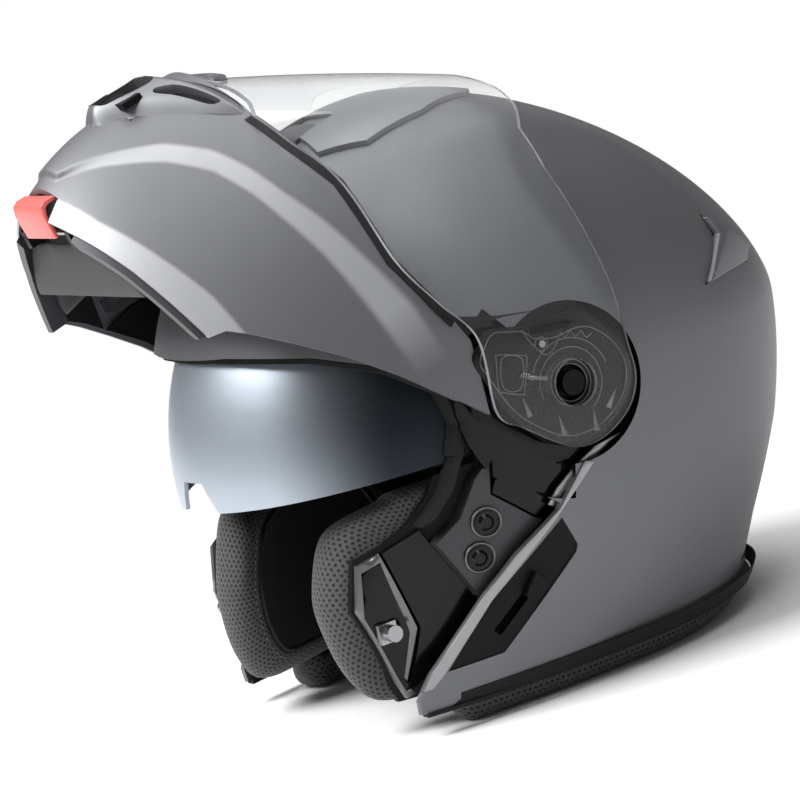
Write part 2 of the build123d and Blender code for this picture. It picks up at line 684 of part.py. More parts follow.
# Top vent and its slider
vent_rise = 2.2
vent_slider_rise = 1.8
vent_recess = 2.2
vent_slider_sink = 1.4
vent_slider_half = 14.0
vent_slider_long = 14.0
vent_travel = 8.0
vent_outline = plan_points(top_vent_shares)
vent_outline += [(-x, y) for x, y in reversed(vent_outline)]
vent_block = plan_prism(vent_outline, 0, crown_height + overrun)
vent_front = min(y for x, y in vent_outline)
notch_long = vent_slider_long + vent_travel + slot_gap * 2
notch_half = vent_slider_half + slot_gap
notch_mid = vent_front + notch_long / 2 - slot_gap
notch = Pos(0, notch_mid - slot_gap, crown_height) * Box(notch_half * 2, notch_long + slot_gap * 2, crown_height)
top_vent = (dome(-vent_rise) & vent_block) - [dome(-seat_gap), notch]
save("top_vent_cover", top_vent)
outer_shell -= notch - dome(vent_recess)
save("outer_shell", outer_shell)
slider_mid = vent_front + vent_slider_long / 2
slider_box = Pos(0, slider_mid, crown_height) * Box(vent_slider_half * 2, vent_slider_long, crown_height)
vent_slider = (dome(-vent_slider_rise) & slider_box) - dome(vent_slider_sink)
save("top_vent_slider", vent_slider)

# Rear exhaust fins
fin_rise = 4.5
fin = (dome(-fin_rise) & near(side_points(fin_shares))) - dome(-seat_gap)
save("rear_vent_left", fin)
save("rear_vent_right", right_of(fin))

# Chin strap: two tapes that hang across the opening, joined by a ratchet buckle
strap_wide = 22.0
strap_thick = 2.0
strap_y = 4.0
strap_end = 103.6
strap_gap = 0.6
strap_low = -110.0
strap_side = 64.0
strap_side_height = -90.0
strap_mid = 36.0
strap_mid_height = -105.0
strap_top = -79.0
buckle_half = 15.0
buckle_wall = 1.6
buckle_tall = 8.0
buckle_lever_long = 25.0
anchor_half = 11.0
anchor_thick = 1.8
anchor_sink = 1.5


def tape(points, thick, wide):
    """Flat tape whose middle line runs through X and Z points."""
    over = Spline(*[(x, 0, z + thick / 2) for x, z in points])
    under = Spline(*[(x, 0, z - thick / 2) for x, z in points])
    ends = [Line(over @ 0, under @ 0), Line(over @ 1, under @ 1)]
    face = make_face([over, under, *ends])
    return Pos(0, strap_y, 0) * extrude(face, wide / 2, both=True, dir=(0, 1, 0))


side_run = [(strap_mid, strap_mid_height), (strap_side, strap_side_height), (strap_end, strap_top)]
strap_left = tape([(buckle_half + strap_gap, strap_low), *side_run], strap_thick, strap_wide)
right_run = [(-x, z) for x, z in reversed(side_run)]
strap_right = tape([*right_run, (-buckle_half - strap_gap, strap_low)], strap_thick, strap_wide)
save("strap_left", strap_left)
save("strap_right", strap_right)
room_run = [(buckle_half + strap_gap, strap_low), *side_run]
strap_room = tape(room_run, strap_thick + strap_gap * 2, strap_wide + strap_gap * 2)
cheek_pad -= strap_room
save("cheek_pad_left", cheek_pad)
save("cheek_pad_right", right_of(cheek_pad))

anchor_place = seat(strap_y, strap_top, shell_wall + anchor_sink)
anchor = anchor_place * Pos(0, 0, -anchor_thick / 2) * Box(anchor_half * 2, anchor_half * 2, anchor_thick)
anchor -= strap_room
save("strap_anchors", Compound([anchor, right_of(anchor)]))

# Buckle: an open channel, the toothed tape of the other strap, and its lever
channel_low = strap_low - strap_thick / 2 - buckle_wall
channel_wide = strap_wide + buckle_wall * 2 + strap_gap * 2
channel_mid = channel_low + buckle_tall / 2
channel = Pos(0, strap_y, channel_mid) * Box(buckle_half * 2, channel_wide, buckle_tall)
channel_room = Box(buckle_half * 2, channel_wide - buckle_wall * 2, buckle_tall)
channel -= Pos(0, strap_y, channel_mid + buckle_wall) * channel_room
hinge_x = buckle_half - buckle_wall * 2
hinge_z = channel_low + buckle_tall - buckle_wall * 1.4
hinge_pin = Pos(hinge_x, strap_y, hinge_z) * Rot(90, 0, 0) * Cylinder(buckle_wall / 2, channel_wide)
save("buckle_housing", channel + hinge_pin)
ladder_stop = hinge_x - buckle_wall * 3
ladder_start = -buckle_half - strap_gap
ladder_mid = (ladder_start + ladder_stop) / 2
ladder_wide = strap_wide - strap_gap * 2
ladder = Pos(ladder_mid, strap_y, strap_low) * Box(ladder_stop - ladder_start, ladder_wide, strap_thick)
tooth_count = 7
tooth_pitch = (ladder_stop - ladder_start) / (tooth_count + 1)
for step in range(tooth_count):
    tooth_x = ladder_start + tooth_pitch * (step + 1)
    tooth = Pos(tooth_x, strap_y, strap_low + strap_thick / 2) * Box(tooth_pitch / 3, ladder_wide, strap_thick / 2)
    ladder += tooth
save("ladder_strap", ladder)
lever_wide = channel_wide - buckle_wall * 2 - strap_gap * 2
buckle_lever = Pos(hinge_x - buckle_lever_long / 2, strap_y, hinge_z) * Box(buckle_lever_long, lever_wide, buckle_wall)
buckle_lever += Pos(hinge_x, strap_y, hinge_z) * Rot(90, 0, 0) * Cylinder(buckle_wall, lever_wide)
lever_bore = Cylinder(buckle_wall / 2 + running_gap, channel_wide)
buckle_lever -= Pos(hinge_x, strap_y, hinge_z) * Rot(90, 0, 0) * lever_bore
save("buckle_lever", buckle_lever)
print("buckle hinge", hinge_x, strap_y - bbox_mid, hinge_z + pivot_height)

# Chin bar, drawn closed and then turned up
lever_half = 27.0
lever_gap = 1.0
lever_top = -132.0
lever_low = -144.0
lever_wall = 5.0
lever_hinge = (-156.0, -129.0)
lever_pin_radius = 1.6
lever_barrel_radius = 3.2
lever_arm_half = 20.0
lever_lug_in = 22.0
lever_lug_out = 26.0
lever_lug_half = 2.6
vent_slot_half = 19.0
vent_slot_low = -80.0
vent_slot_high = -62.0
chin_block = side_block(side_points(chin_shares), 0, -overrun * 3, overrun * 3)
lever_room = Pos(0, -chin_reach, (lever_top + lever_low) / 2 + lever_gap)
lever_room *= Box((lever_half + lever_gap) * 2, overrun * 2, lever_top - lever_low)
inlet = Pos(0, -chin_reach, (vent_slot_low + vent_slot_high) / 2)
inlet *= Box(vent_slot_half * 2, overrun, vent_slot_high - vent_slot_low)
chin_skin = (chin(0) & chin_block) - [chin(chin_wall), lever_room, inlet]
arm = side_block(pivot_points(arm_shares), 0, arm_inner, arm_outer) & chin(shell_wall / 3)
arm -= rod(bolt_radius + running_gap, 0, half_width + overrun)
chin_bar = chin_skin + [arm, right_of(arm)]
lug_start = Pos((lever_lug_in + lever_lug_out) / 2, lever_hinge[0] - lever_lug_half, lever_hinge[1])
lug = lug_start * Box(lever_lug_out - lever_lug_in, lever_lug_half * 5, lever_lug_half * 2)
lug = (lug & chin(chin_wall / 2)) - rod(lever_pin_radius, 0, half_width, *lever_hinge)
chin_bar += [lug, right_of(lug)]
save("chin_bar_shell", opened(chin_bar))

lever_block = Pos(0, -chin_reach, (lever_top + lever_low) / 2)
lever_block *= Box(lever_half * 2, overrun * 2, lever_top - lever_low)
lever = (chin(0) & lever_block) - chin(lever_wall)
arm_low = lever_top - lever_wall
arm_points = [
    (-chin_reach, lever_top),
    (lever_hinge[0], lever_hinge[1] + lever_pin_radius),
    (lever_hinge[0], lever_hinge[1] - lever_barrel_radius),
    (lever_hinge[0] - lever_wall, arm_low),
    (-chin_reach, arm_low),
]
lever += side_block(arm_points, 0, -lever_arm_half, lever_arm_half) & chin(chin_wall + lever_gap)
lever += rod(lever_barrel_radius, -lever_arm_half, lever_arm_half, *lever_hinge)
lever -= rod(lever_pin_radius + running_gap, -lever_half, lever_half, *lever_hinge)
save("release_lever", opened(lever))
save("lever_pin", opened(rod(lever_pin_radius, -lever_lug_out, lever_lug_out, *lever_hinge)))

# Linings of the chin bar
chin_pad_outer = 4.5
chin_pad_inner = 16.0
chin_pad = (chin(chin_pad_outer) & side_block(side_points(chin_pad_shares), 0, -overrun * 3, overrun * 3))
chin_pad -= chin(chin_pad_inner)
save("chin_bar_liner", opened(chin_pad))
carrier_outer = 5.0
carrier_inner = 7.0
hook_hinge_radius = 2.4
hook_start = 85.8
hook_stop = 87.6
carrier = (chin(carrier_outer) & near(side_points(chin_carrier_shares))) - chin(carrier_inner)
hook_y, hook_z = side_points(hook_hinge_shares)[0]
hook_pin = rod(hook_hinge_radius, hook_start - latch_base_stand, half_width, hook_y, hook_z) & chin(carrier_outer + seat_gap)
hook_room = side_block(side_points(hook_room_shares), 0, 0, half_width)
arm_room = side_block(pivot_points(arm_shares), slot_gap, arm_inner - slot_gap, arm_outer)
carrier = carrier - [hook_room, arm_room] + hook_pin
carrier = max(carrier.solids(), key=lambda solid: solid.volume)
save("chin_carrier_left", opened(carrier))
save("chin_carrier_right", opened(right_of(carrier)))

# Latch hooks
hook = side_block(side_points(hook_shares), 0, hook_start, hook_stop)
hook -= rod(hook_hinge_radius + running_gap, 0, half_width, hook_y, hook_z)
save("latch_hook_left", opened(hook))
save("latch_hook_right", opened(right_of(hook)))

# Edge trim and mesh under the chin
trim_inset = 4.2
trim_depth = 9.0
chin_trim = chin(trim_inset) & side_block(side_points(chin_trim_shares), 0, -overrun * 3, overrun * 3)
trim_notch = Pos(0, -chin_reach, lever_top) * Box((lever_half + lever_gap * 3) * 2, overrun * 3, overrun)
chin_trim -= [chin(trim_depth), trim_notch]
save("chin_trim", opened(chin_trim))
mesh_front = 150.0
mesh_rear = 122.0
mesh_low = -130.0
mesh_high = -127.0
mesh_slab = Pos(0, -(mesh_front + mesh_rear) / 2, (mesh_low + mesh_high) / 2)
mesh_slab *= Box(chin_half_width * 2, mesh_front - mesh_rear, mesh_high - mesh_low)
chin_mesh = mesh_slab & chin(trim_depth + seat_gap)
save("chin_mesh_panel", opened(chin_mesh))

# Mouth vent housing with its shutter
vent_nose = 7.6
side_slot_shares = ((0.22, -0.545), (0.24, -0.505), (0.4, -0.438), (0.385, -0.475))
vent_middle = -72.0
vent_tall = 36.0
vent_narrow = 9.0
vent_ring_count = 7
vent_rings = []
for step in range(vent_ring_count):
    height = vent_middle + vent_tall * (step * 2 / (vent_ring_count - 1) - 1)
    bump = vent_nose * (1 - ((height - vent_middle) / vent_tall) ** 2)
    rise = (height - chin_low) / (chin_top - chin_low)
    power = chin_low_power + (chin_top_power - chin_low_power) * rise ** 2
    reach = chin_reach + bump
    vent_rings.append(ring(height, chin_half_width - vent_narrow, reach, chin_reach, 0, power))
vent_block_chin = side_block(side_points(vent_frame_shares), 0, -overrun * 3, overrun * 3)
vent_frame = (loft(vent_rings) & vent_block_chin) - [chin(-seat_gap), inlet]
side_slot = [(x * chin_half_width, z * chin_half_width) for x, z in side_slot_shares]
for side in (1, -1):
    slot_points = [(x * side, z) for x, z in side_slot]
    vent_frame -= front_prism(slot_points, -chin_reach - overrun, -chin_reach + overrun)
vent_frame = Compound(vent_frame.solids())
save("mouth_vent_frame", opened(vent_frame))
shutter_tall = 10.0
shutter_gap = 0.6
shutter_thick = 3.0
shutter_front = 191.0
shutter_travel = 6.0
shutter_mid = vent_slot_low + shutter_gap + shutter_tall / 2
shutter = Pos(0, shutter_thick / 2 - shutter_front, shutter_mid)
shutter *= Box((vent_slot_half - shutter_gap) * 2, shutter_thick, shutter_tall)
save("mouth_vent_slider", opened(shutter))

# Gasket that the shield closes on
gasket_stand = 2.2
gasket = chin(-gasket_stand) & side_block(side_points(gasket_shares), 0, -overrun * 3, overrun * 3)
gasket -= chin(-seat_gap)
save("shield_gasket", opened(gasket))

# Shield mechanism: a base on each arm, with a hub, a window and a spring
window_wall = 1.6
mech = side_block(pivot_points(base_shares), 0, arm_outer, base_outer) & shield_body(shield_wall + slot_gap * 2)
mech += rod(hub_radius, arm_outer, hub_top)
mech -= rod(hub_cup_radius, bolt_head_seat, half_width + overrun)
mech -= rod(bolt_radius + running_gap, 0, half_width + overrun)
mech -= side_block(pivot_points(window_shares), 0, base_outer - window_wall, half_width + overrun)
spring_radius = 1.35
spring_wire_radius = 0.3
spring_pitch = 1.2
spring_turns = 6
spring_floor = 119.6
spring_place_shares = (
    (-0.418, -0.494), (-0.228, -0.329),
)
(spring_y, spring_z), (spring_end_y, spring_end_z) = pivot_points(spring_place_shares)
spring_way = Vector(0, spring_end_y - spring_y, spring_end_z - spring_z).normalized()
spring_mid_x = spring_floor + running_gap + spring_radius + spring_wire_radius
spring_long = spring_pitch * spring_turns
spring_mid = Vector(spring_mid_x, spring_y, spring_z) + spring_way * (spring_long / 2)
bed_plane = Plane(origin=spring_mid, x_dir=spring_way, z_dir=(1, 0, 0))
bed_long = spring_long + spring_wire_radius * 3
bed_wide = (spring_radius + spring_wire_radius) * 2 + running_gap * 2
bed_deep = base_outer - spring_floor
mech -= bed_plane * Pos(0, 0, bed_deep - spring_mid_x + spring_floor) * Box(bed_long, bed_wide, bed_deep * 2)
coil_plane = Plane(origin=spring_mid - spring_way * (spring_long / 2), x_dir=(1, 0, 0), z_dir=spring_way)
coil = Helix(spring_pitch, spring_long, spring_radius)
wire_face = Plane(origin=coil @ 0, z_dir=coil % 0) * Circle(spring_wire_radius)
spring = coil_plane * sweep(wire_face, path=coil, is_frenet=True)
print("spring turns apart by", spring_pitch - spring_wire_radius * 2)
save("shield_springs", opened(Compound([spring, right_of(spring)])))
save("shield_base_left", opened(mech))
save("shield_base_right", opened(right_of(mech)))

# Face shield
shield_block = side_block(side_points(shield_shares), 0, -overrun * 3, overrun * 3)
hub_bore = rod(hub_radius + shield_bore_gap, 0, half_width + overrun)
shield = (shield_body(0) & shield_block) - [shield_body(shield_wall), hub_bore, right_of(hub_bore)]
tab_half = 24.0
tab_low = -38.0
tab_high = -32.0
tab_stand = 3.0
tab = Pos(0, -shield_reach, (tab_low + tab_high) / 2) * Box(tab_half * 2, overrun * 2, tab_high - tab_low)
shield += (shield_body(-tab_stand) & tab) - shield_body(shield_wall / 2)
save("shield", opened(shield))
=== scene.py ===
import bpy
import bmesh
import numpy as np
from math import cos, pi, radians, sin, sqrt
from mathutils import Matrix, Vector
from mathutils.kdtree import KDTree


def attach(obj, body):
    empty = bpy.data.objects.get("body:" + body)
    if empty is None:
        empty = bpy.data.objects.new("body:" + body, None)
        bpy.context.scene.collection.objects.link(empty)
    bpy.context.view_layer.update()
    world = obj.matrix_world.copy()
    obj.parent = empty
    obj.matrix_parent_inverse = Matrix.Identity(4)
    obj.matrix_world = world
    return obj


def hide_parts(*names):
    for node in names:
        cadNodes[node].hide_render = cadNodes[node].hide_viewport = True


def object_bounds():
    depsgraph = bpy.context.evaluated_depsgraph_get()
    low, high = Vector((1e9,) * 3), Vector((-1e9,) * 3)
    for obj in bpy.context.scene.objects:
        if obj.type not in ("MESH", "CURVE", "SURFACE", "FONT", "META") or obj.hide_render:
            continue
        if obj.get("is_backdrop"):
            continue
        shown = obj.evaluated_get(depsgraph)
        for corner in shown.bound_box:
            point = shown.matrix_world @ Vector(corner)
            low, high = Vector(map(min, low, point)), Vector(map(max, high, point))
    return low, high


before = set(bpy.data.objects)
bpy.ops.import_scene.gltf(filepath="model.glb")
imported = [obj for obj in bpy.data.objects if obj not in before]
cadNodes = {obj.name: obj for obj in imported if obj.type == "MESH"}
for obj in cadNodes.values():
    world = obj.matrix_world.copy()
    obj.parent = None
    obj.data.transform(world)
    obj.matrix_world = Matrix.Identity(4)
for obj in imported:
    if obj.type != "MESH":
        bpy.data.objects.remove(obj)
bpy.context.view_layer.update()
scene = bpy.context.scene
print("frame loaded,", len(cadNodes), "nodes")

# The helmet is worked out in millimetres about the chin bar's pivot axis,
# +X to the wearer's left and +Y to the rear, and moved to its place at the end.
helmet = {
    "halfWidth": 122.5, "crown": 132.5, "brow": 131.5, "rear": 155.7, "centre": 8.0, "rimDepth": 123.5,
    "rimHalf": 104.0, "rimFront": 191.0, "rimRear": 105.4, "wall": 3.6, "planPower": 2.14,
    "rearPower": 1.57, "tuckPower": 1.55, "pivotHeight": 135.5, "backShift": 9.0, "openAngle": 75.4,
}


def wave(value, power):
    return np.sign(value) * np.abs(value) ** (2 / power)


def domeRing(inset, share, angles):
    h = helmet
    if share >= 0:
        narrow = sqrt(max(0.0, 1 - share ** 2))
        centre = h["centre"] * narrow
        across = (h["halfWidth"] - inset) * narrow
        front = centre + (h["brow"] - inset) * narrow
        rear = (h["rear"] - inset) * max(0.0, 1 - share ** h["rearPower"]) ** (1 / h["rearPower"])
        height = (h["crown"] - inset) * share
    else:
        drop = -share
        centre = h["centre"]
        across = h["halfWidth"] - (h["halfWidth"] - h["rimHalf"]) * drop ** 2 - inset
        brow = h["brow"] + centre
        front = brow + (h["rimFront"] - brow) * drop - inset
        rear = h["rear"] - (h["rear"] - h["rimRear"]) * drop ** h["tuckPower"] - inset
        height = h["rimDepth"] * share
    reach = np.where(np.sin(angles) > 0, rear, front)
    power = h["planPower"]
    x = across * wave(np.cos(angles), power)
    y = centre + reach * wave(np.sin(angles), power)
    return np.stack([x, y, np.full_like(x, height)], 1)


def domeX(y, z, inset):
    h = helmet
    y, z = np.asarray(y, float), np.asarray(z, float)
    drop = np.clip(-z / h["rimDepth"], 0, 1.2)
    up = np.clip(z / (h["crown"] - inset), 0, 0.999)
    narrow = np.sqrt(1 - up ** 2)
    low = h["halfWidth"] - (h["halfWidth"] - h["rimHalf"]) * drop ** 2 - inset
    across = np.where(z < 0, low, (h["halfWidth"] - inset) * narrow)
    centre = np.where(z < 0, h["centre"], h["centre"] * narrow)
    brow = h["brow"] + h["centre"]
    frontLow = brow + (h["rimFront"] - brow) * drop - inset
    rearLow = h["rear"] - (h["rear"] - h["rimRear"]) * drop ** h["tuckPower"] - inset
    frontHigh = centre + (h["brow"] - inset) * narrow
    rearHigh = (h["rear"] - inset) * (1 - up ** h["rearPower"]) ** (1 / h["rearPower"])
    front = np.where(z < 0, frontLow, frontHigh)
    rear = np.where(z < 0, rearLow, rearHigh)
    reach = np.where(y > centre, rear, front)
    share = np.clip(np.abs((y - centre) / reach), 0, 1)
    return across * (1 - share ** h["planPower"]) ** (1 / h["planPower"])


chinShape = {
    "half": 123.0, "lowHalf": 118.5, "reach": 186.5, "top": -20.0, "bulge": -80.0, "low": -140.0,
    "lowSetback": 16.0, "topSetback": 4.5, "setbackPower": 2.3, "lowPower": 1.57, "topPower": 2.02,
}


def chinRing(inset, height, angles):
    c = chinShape
    rise = (height - c["low"]) / (c["top"] - c["low"])
    across = c["lowHalf"] + (c["half"] - c["lowHalf"]) * rise - inset
    if height < c["bulge"]:
        under = (c["bulge"] - height) / (c["bulge"] - c["low"])
        front = c["reach"] - c["lowSetback"] * under ** c["setbackPower"]
    else:
        front = c["reach"] - c["topSetback"] * ((height - c["bulge"]) / (c["top"] - c["bulge"])) ** 2
    power = c["lowPower"] + (c["topPower"] - c["lowPower"]) * max(rise, 0) ** 2
    x = across * wave(np.cos(angles), power)
    y = (front - inset) * wave(np.sin(angles), power)
    return np.stack([x, y, np.full_like(x, height)], 1)


def toPlace(points, opened=False):
    p = np.asarray(points, float).reshape(-1, 3).copy()
    if opened:
        a = radians(helmet["openAngle"])
        p = np.stack([p[:, 0], p[:, 1] * cos(a) + p[:, 2] * sin(a), -p[:, 1] * sin(a) + p[:, 2] * cos(a)], 1)
    return (p + (0, helmet["backShift"], helmet["pivotHeight"])) / 1000


def newPiece(name, verts, faces):
    mesh = bpy.data.meshes.new(name)
    mesh.from_pydata([tuple(v) for v in verts], [], [tuple(f) for f in faces])
    obj = bpy.data.objects.new(name, mesh)
    scene.collection.objects.link(obj)
    tidy(obj)
    return obj


weldWithin = 0.00001


def tidy(obj, sharp=None, outward=True):
    bm = bmesh.new()
    bm.from_mesh(obj.data)
    bmesh.ops.remove_doubles(bm, verts=bm.verts, dist=weldWithin)
    bmesh.ops.dissolve_degenerate(bm, edges=bm.edges, dist=weldWithin / 10)
    if outward:
        bmesh.ops.recalc_face_normals(bm, faces=bm.faces)
    limit = radians(sharp) if sharp else pi
    for face in bm.faces:
        face.smooth = True
    for edge in bm.edges:
        edge.smooth = len(edge.link_faces) == 2 and edge.calc_face_angle(0) < limit
    bm.to_mesh(obj.data)
    bm.free()
    obj.data.update()


def gridFaces(rows, cols, around=False):
    faces = []
    for r in range(rows - 1):
        for c in range(cols if around else cols - 1):
            d = (c + 1) % cols
            faces.append((r * cols + c, r * cols + d, (r + 1) * cols + d, (r + 1) * cols + c))
    return faces


def baked(obj):
    evaluated = obj.evaluated_get(bpy.context.evaluated_depsgraph_get())
    mesh = bpy.data.meshes.new_from_object(evaluated)
    old = obj.data
    obj.modifiers.clear()
    obj.data = mesh
    bpy.data.meshes.remove(old)
    return obj


def combine(obj, tools, operation="DIFFERENCE"):
    for tool in tools:
        cut = obj.modifiers.new("cut", "BOOLEAN")
        cut.operation = operation
        cut.solver = "EXACT"
        cut.object = tool
        baked(obj)
        bpy.data.objects.remove(tool)


def prismFaces(n):
    faces = [tuple(range(n)), tuple(range(2 * n - 1, n - 1, -1))]
    return faces + [(i, (i + 1) % n, (i + 1) % n + n, i + n) for i in range(n)]


def sidePrism(points, start, stop, opened=False):
    ring = np.array(points, float)
    ends = [np.column_stack([np.full(len(ring), x), ring]) for x in (start, stop)]
    return newPiece("tool", toPlace(np.vstack(ends), opened), prismFaces(len(ring)))


def barAlongX(radius, start, stop, y=0.0, z=0.0, opened=False, sides=64):
    turn = np.arange(sides) * 2 * pi / sides
    return sidePrism(np.column_stack([y + radius * np.cos(turn), z + radius * np.sin(turn)]), start, stop,
                     opened)


def runAlong(points, closed=False):
    path = np.vstack([points, points[:1]]) if closed else points
    return np.concatenate([[0], np.cumsum(np.linalg.norm(np.diff(path, axis=0), axis=1))])


def smoothLine(points, count, closed=False):
    p = np.array(points, float)
    n = len(p)
    out = []
    for i in range(n if closed else n - 1):
        a = p[(i - 1) % n] if closed or i > 0 else 2 * p[0] - p[1]
        b, c = p[i], p[(i + 1) % n]
        d = p[(i + 2) % n] if closed or i < n - 2 else 2 * p[-1] - p[-2]
        square, cube = 2 * a - 5 * b + 4 * c - d, 3 * b - 3 * c + d - a
        for t in np.arange(0, 1, 0.05):
            out.append(0.5 * (2 * b + (c - a) * t + square * t ** 2 + cube * t ** 3))
    out = np.array(out if closed else [*out, p[-1]])
    along = runAlong(out, closed)
    ends = np.vstack([out, out[:1]]) if closed else out
    want = np.linspace(0, along[-1], count, endpoint=not closed)
    return np.column_stack([np.interp(want, along, ends[:, k]) for k in range(p.shape[1])])


def tube(name, line, radius, closed=False):
    curve = bpy.data.curves.new(name, "CURVE")
    curve.dimensions = "3D"
    curve.bevel_depth = radius
    curve.bevel_resolution = 2
    curve.use_fill_caps = True
    spline = curve.splines.new("POLY")
    spline.points.add(len(line) - 1)
    for point, co in zip(spline.points, line):
        point.co = (*co, 1)
    spline.use_cyclic_u = closed
    obj = bpy.data.objects.new(name, curve)
    scene.collection.objects.link(obj)
    mesh = bpy.data.meshes.new_from_object(obj.evaluated_get(bpy.context.evaluated_depsgraph_get()))
    bpy.data.objects.remove(obj)
    obj = bpy.data.objects.new(name, mesh)
    scene.collection.objects.link(obj)
    tidy(obj)
    return obj


def joined(name, pieces):
    bm = bmesh.new()
    slots = []
    for piece in pieces:
        start = len(bm.faces)
        bm.from_mesh(piece.data)
        bm.faces.ensure_lookup_table()
        for face in bm.faces[start:]:
            source = piece.data.materials[face.material_index] if piece.data.materials else None
            if source not in slots:
                slots.append(source)
            face.material_index = slots.index(source)
    mesh = bpy.data.meshes.new(name)
    bm.to_mesh(mesh)
    bm.free()
    for source in slots:
        mesh.materials.append(source)
    for piece in pieces:
        bpy.data.objects.remove(piece)
    obj = bpy.data.objects.new(name, mesh)
    scene.collection.objects.link(obj)
    return obj


def mirrored(obj, name):
    mesh = obj.data.copy()
    mesh.transform(Matrix.Diagonal((-1, 1, 1, 1)))
    mesh.flip_normals()
    twin = bpy.data.objects.new(name, mesh)
    scene.collection.objects.link(twin)
    return twin


def paint(obj, *names):
    obj.data.materials.clear()
    for name in names:
        obj.data.materials.append(finish[name])


def dress(obj, body, paints, stands=()):
    if paints:
        paint(obj, paints)
    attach(obj, body)
    if stands:
        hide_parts(*stands)


# Camera
view = {
    "place": (1.94141346, -0.96078138, 0.49730242), "right": (0.46242494, 0.8484444, -0.2574981),
    "up": (-0.03064291, 0.30553322, 0.95168822), "back": (0.88612876, -0.43219388, 0.16728499),
    "halfTangent": 0.0834, "sensor": 36.0,
}
lens = bpy.data.cameras.new("camera")
lens.sensor_width = view["sensor"]
lens.lens = view["sensor"] / 2 / view["halfTangent"]
lens.clip_end = 100
camera = bpy.data.objects.new("camera", lens)
scene.collection.objects.link(camera)
turn = Matrix((view["right"], view["up"], view["back"])).transposed()
camera.matrix_world = Matrix.Translation(view["place"]) @ turn.to_4x4()
scene.camera = camera

# Lamps, world, floor
studio = {
    "worldGrey": 0.2, "worldSeen": 1.0, "floorShade": 0.9, "floorSpread": 0.02, "floorGrain": 30.0,
    "floorRough": 0.9, "fadeStart": 0.14, "fadeEnd": 0.5, "floorSize": 60.0,
}
white = (1, 1, 1, 1)


def softBox(name, place, aim, size, power):
    lamp = bpy.data.lights.new(name, "AREA")
    lamp.shape = "RECTANGLE"
    lamp.size, lamp.size_y = size
    lamp.energy = power
    obj = bpy.data.objects.new(name, lamp)
    scene.collection.objects.link(obj)
    obj.location = place
    obj.rotation_euler = (Vector(aim) - Vector(place)).to_track_quat("-Z", "Y").to_euler()


softBox("keyBox", (-0.5, -1.8, 2.4), (0, -0.05, 0.25), (2.0, 1.6), 132)
softBox("topBox", (-0.5, 0.3, 2.5), (0, 0, 0.15), (1.8, 1.8), 30)
softBox("sideBox", (1.1, -0.1, 2.6), (0, 0.05, 0.2), (1.2, 1.2), 17)


def setInputs(tree, node, inputs):
    for key, value in inputs.items():
        if isinstance(value, bpy.types.NodeSocket):
            tree.links.new(value, node.inputs[key])
        else:
            node.inputs[key].default_value = value


def addNode(tree, kind, inputs=None, **settings):
    node = tree.nodes.new(kind)
    for label, value in settings.items():
        setattr(node, label, value)
    setInputs(tree, node, inputs or {})
    return node


def mathNode(tree, operation, a, b=None):
    inputs = {0: a} if b is None else {0: a, 1: b}
    return addNode(tree, "ShaderNodeMath", inputs, operation=operation).outputs[0]


def mixColour(tree, factor, a, b):
    return addNode(tree, "ShaderNodeMix", {0: factor, 6: a, 7: b}, data_type="RGBA").outputs[2]


def scaledColour(tree, colour, factor):
    return addNode(tree, "ShaderNodeVectorMath", {0: colour, "Scale": factor}, operation="SCALE").outputs[0]


def noiseOf(tree, coords, scale, detail=2.0):
    inputs = {"Vector": coords, "Scale": scale, "Detail": detail}
    return addNode(tree, "ShaderNodeTexNoise", inputs).outputs[0]


def rampOf(tree, value, start, stop):
    inputs = {"Value": value, "From Min": start, "From Max": stop}
    return addNode(tree, "ShaderNodeMapRange", inputs, interpolation_type="SMOOTHSTEP").outputs[0]


def seenDirectly(tree):
    rays = addNode(tree, "ShaderNodeLightPath")
    return mathNode(tree, "MAXIMUM", rays.outputs["Is Camera Ray"], rays.outputs["Is Transmission Ray"])


world = bpy.data.worlds.new("studio")
scene.world = world
world.use_nodes = True
sky = world.node_tree
sky.nodes.clear()
dim, bright = (addNode(sky, "ShaderNodeBackground", {"Color": white, "Strength": studio[key]}).outputs[0]
               for key in ("worldGrey", "worldSeen"))
skyMix = addNode(sky, "ShaderNodeMixShader", {0: seenDirectly(sky), 1: dim, 2: bright})
addNode(sky, "ShaderNodeOutputWorld", {"Surface": skyMix.outputs[0]})
scene.view_settings.view_transform = "Standard"
print("camera and lamps set")


def newGroup(name, inputs, outputs, kind="ShaderNodeTree"):
    group = bpy.data.node_groups.new(name, kind)
    for label, socketKind, value in inputs:
        socket = group.interface.new_socket(label, in_out="INPUT", socket_type="NodeSocket" + socketKind)
        if value is not None:
            socket.default_value = value
    for label, socketKind in outputs:
        group.interface.new_socket(label, in_out="OUTPUT", socket_type="NodeSocket" + socketKind)
    return group, group.nodes.new("NodeGroupInput").outputs, group.nodes.new("NodeGroupOutput")


lookOutputs = [("Colour", "Color"), ("Roughness", "Float"), ("Height", "Float")]

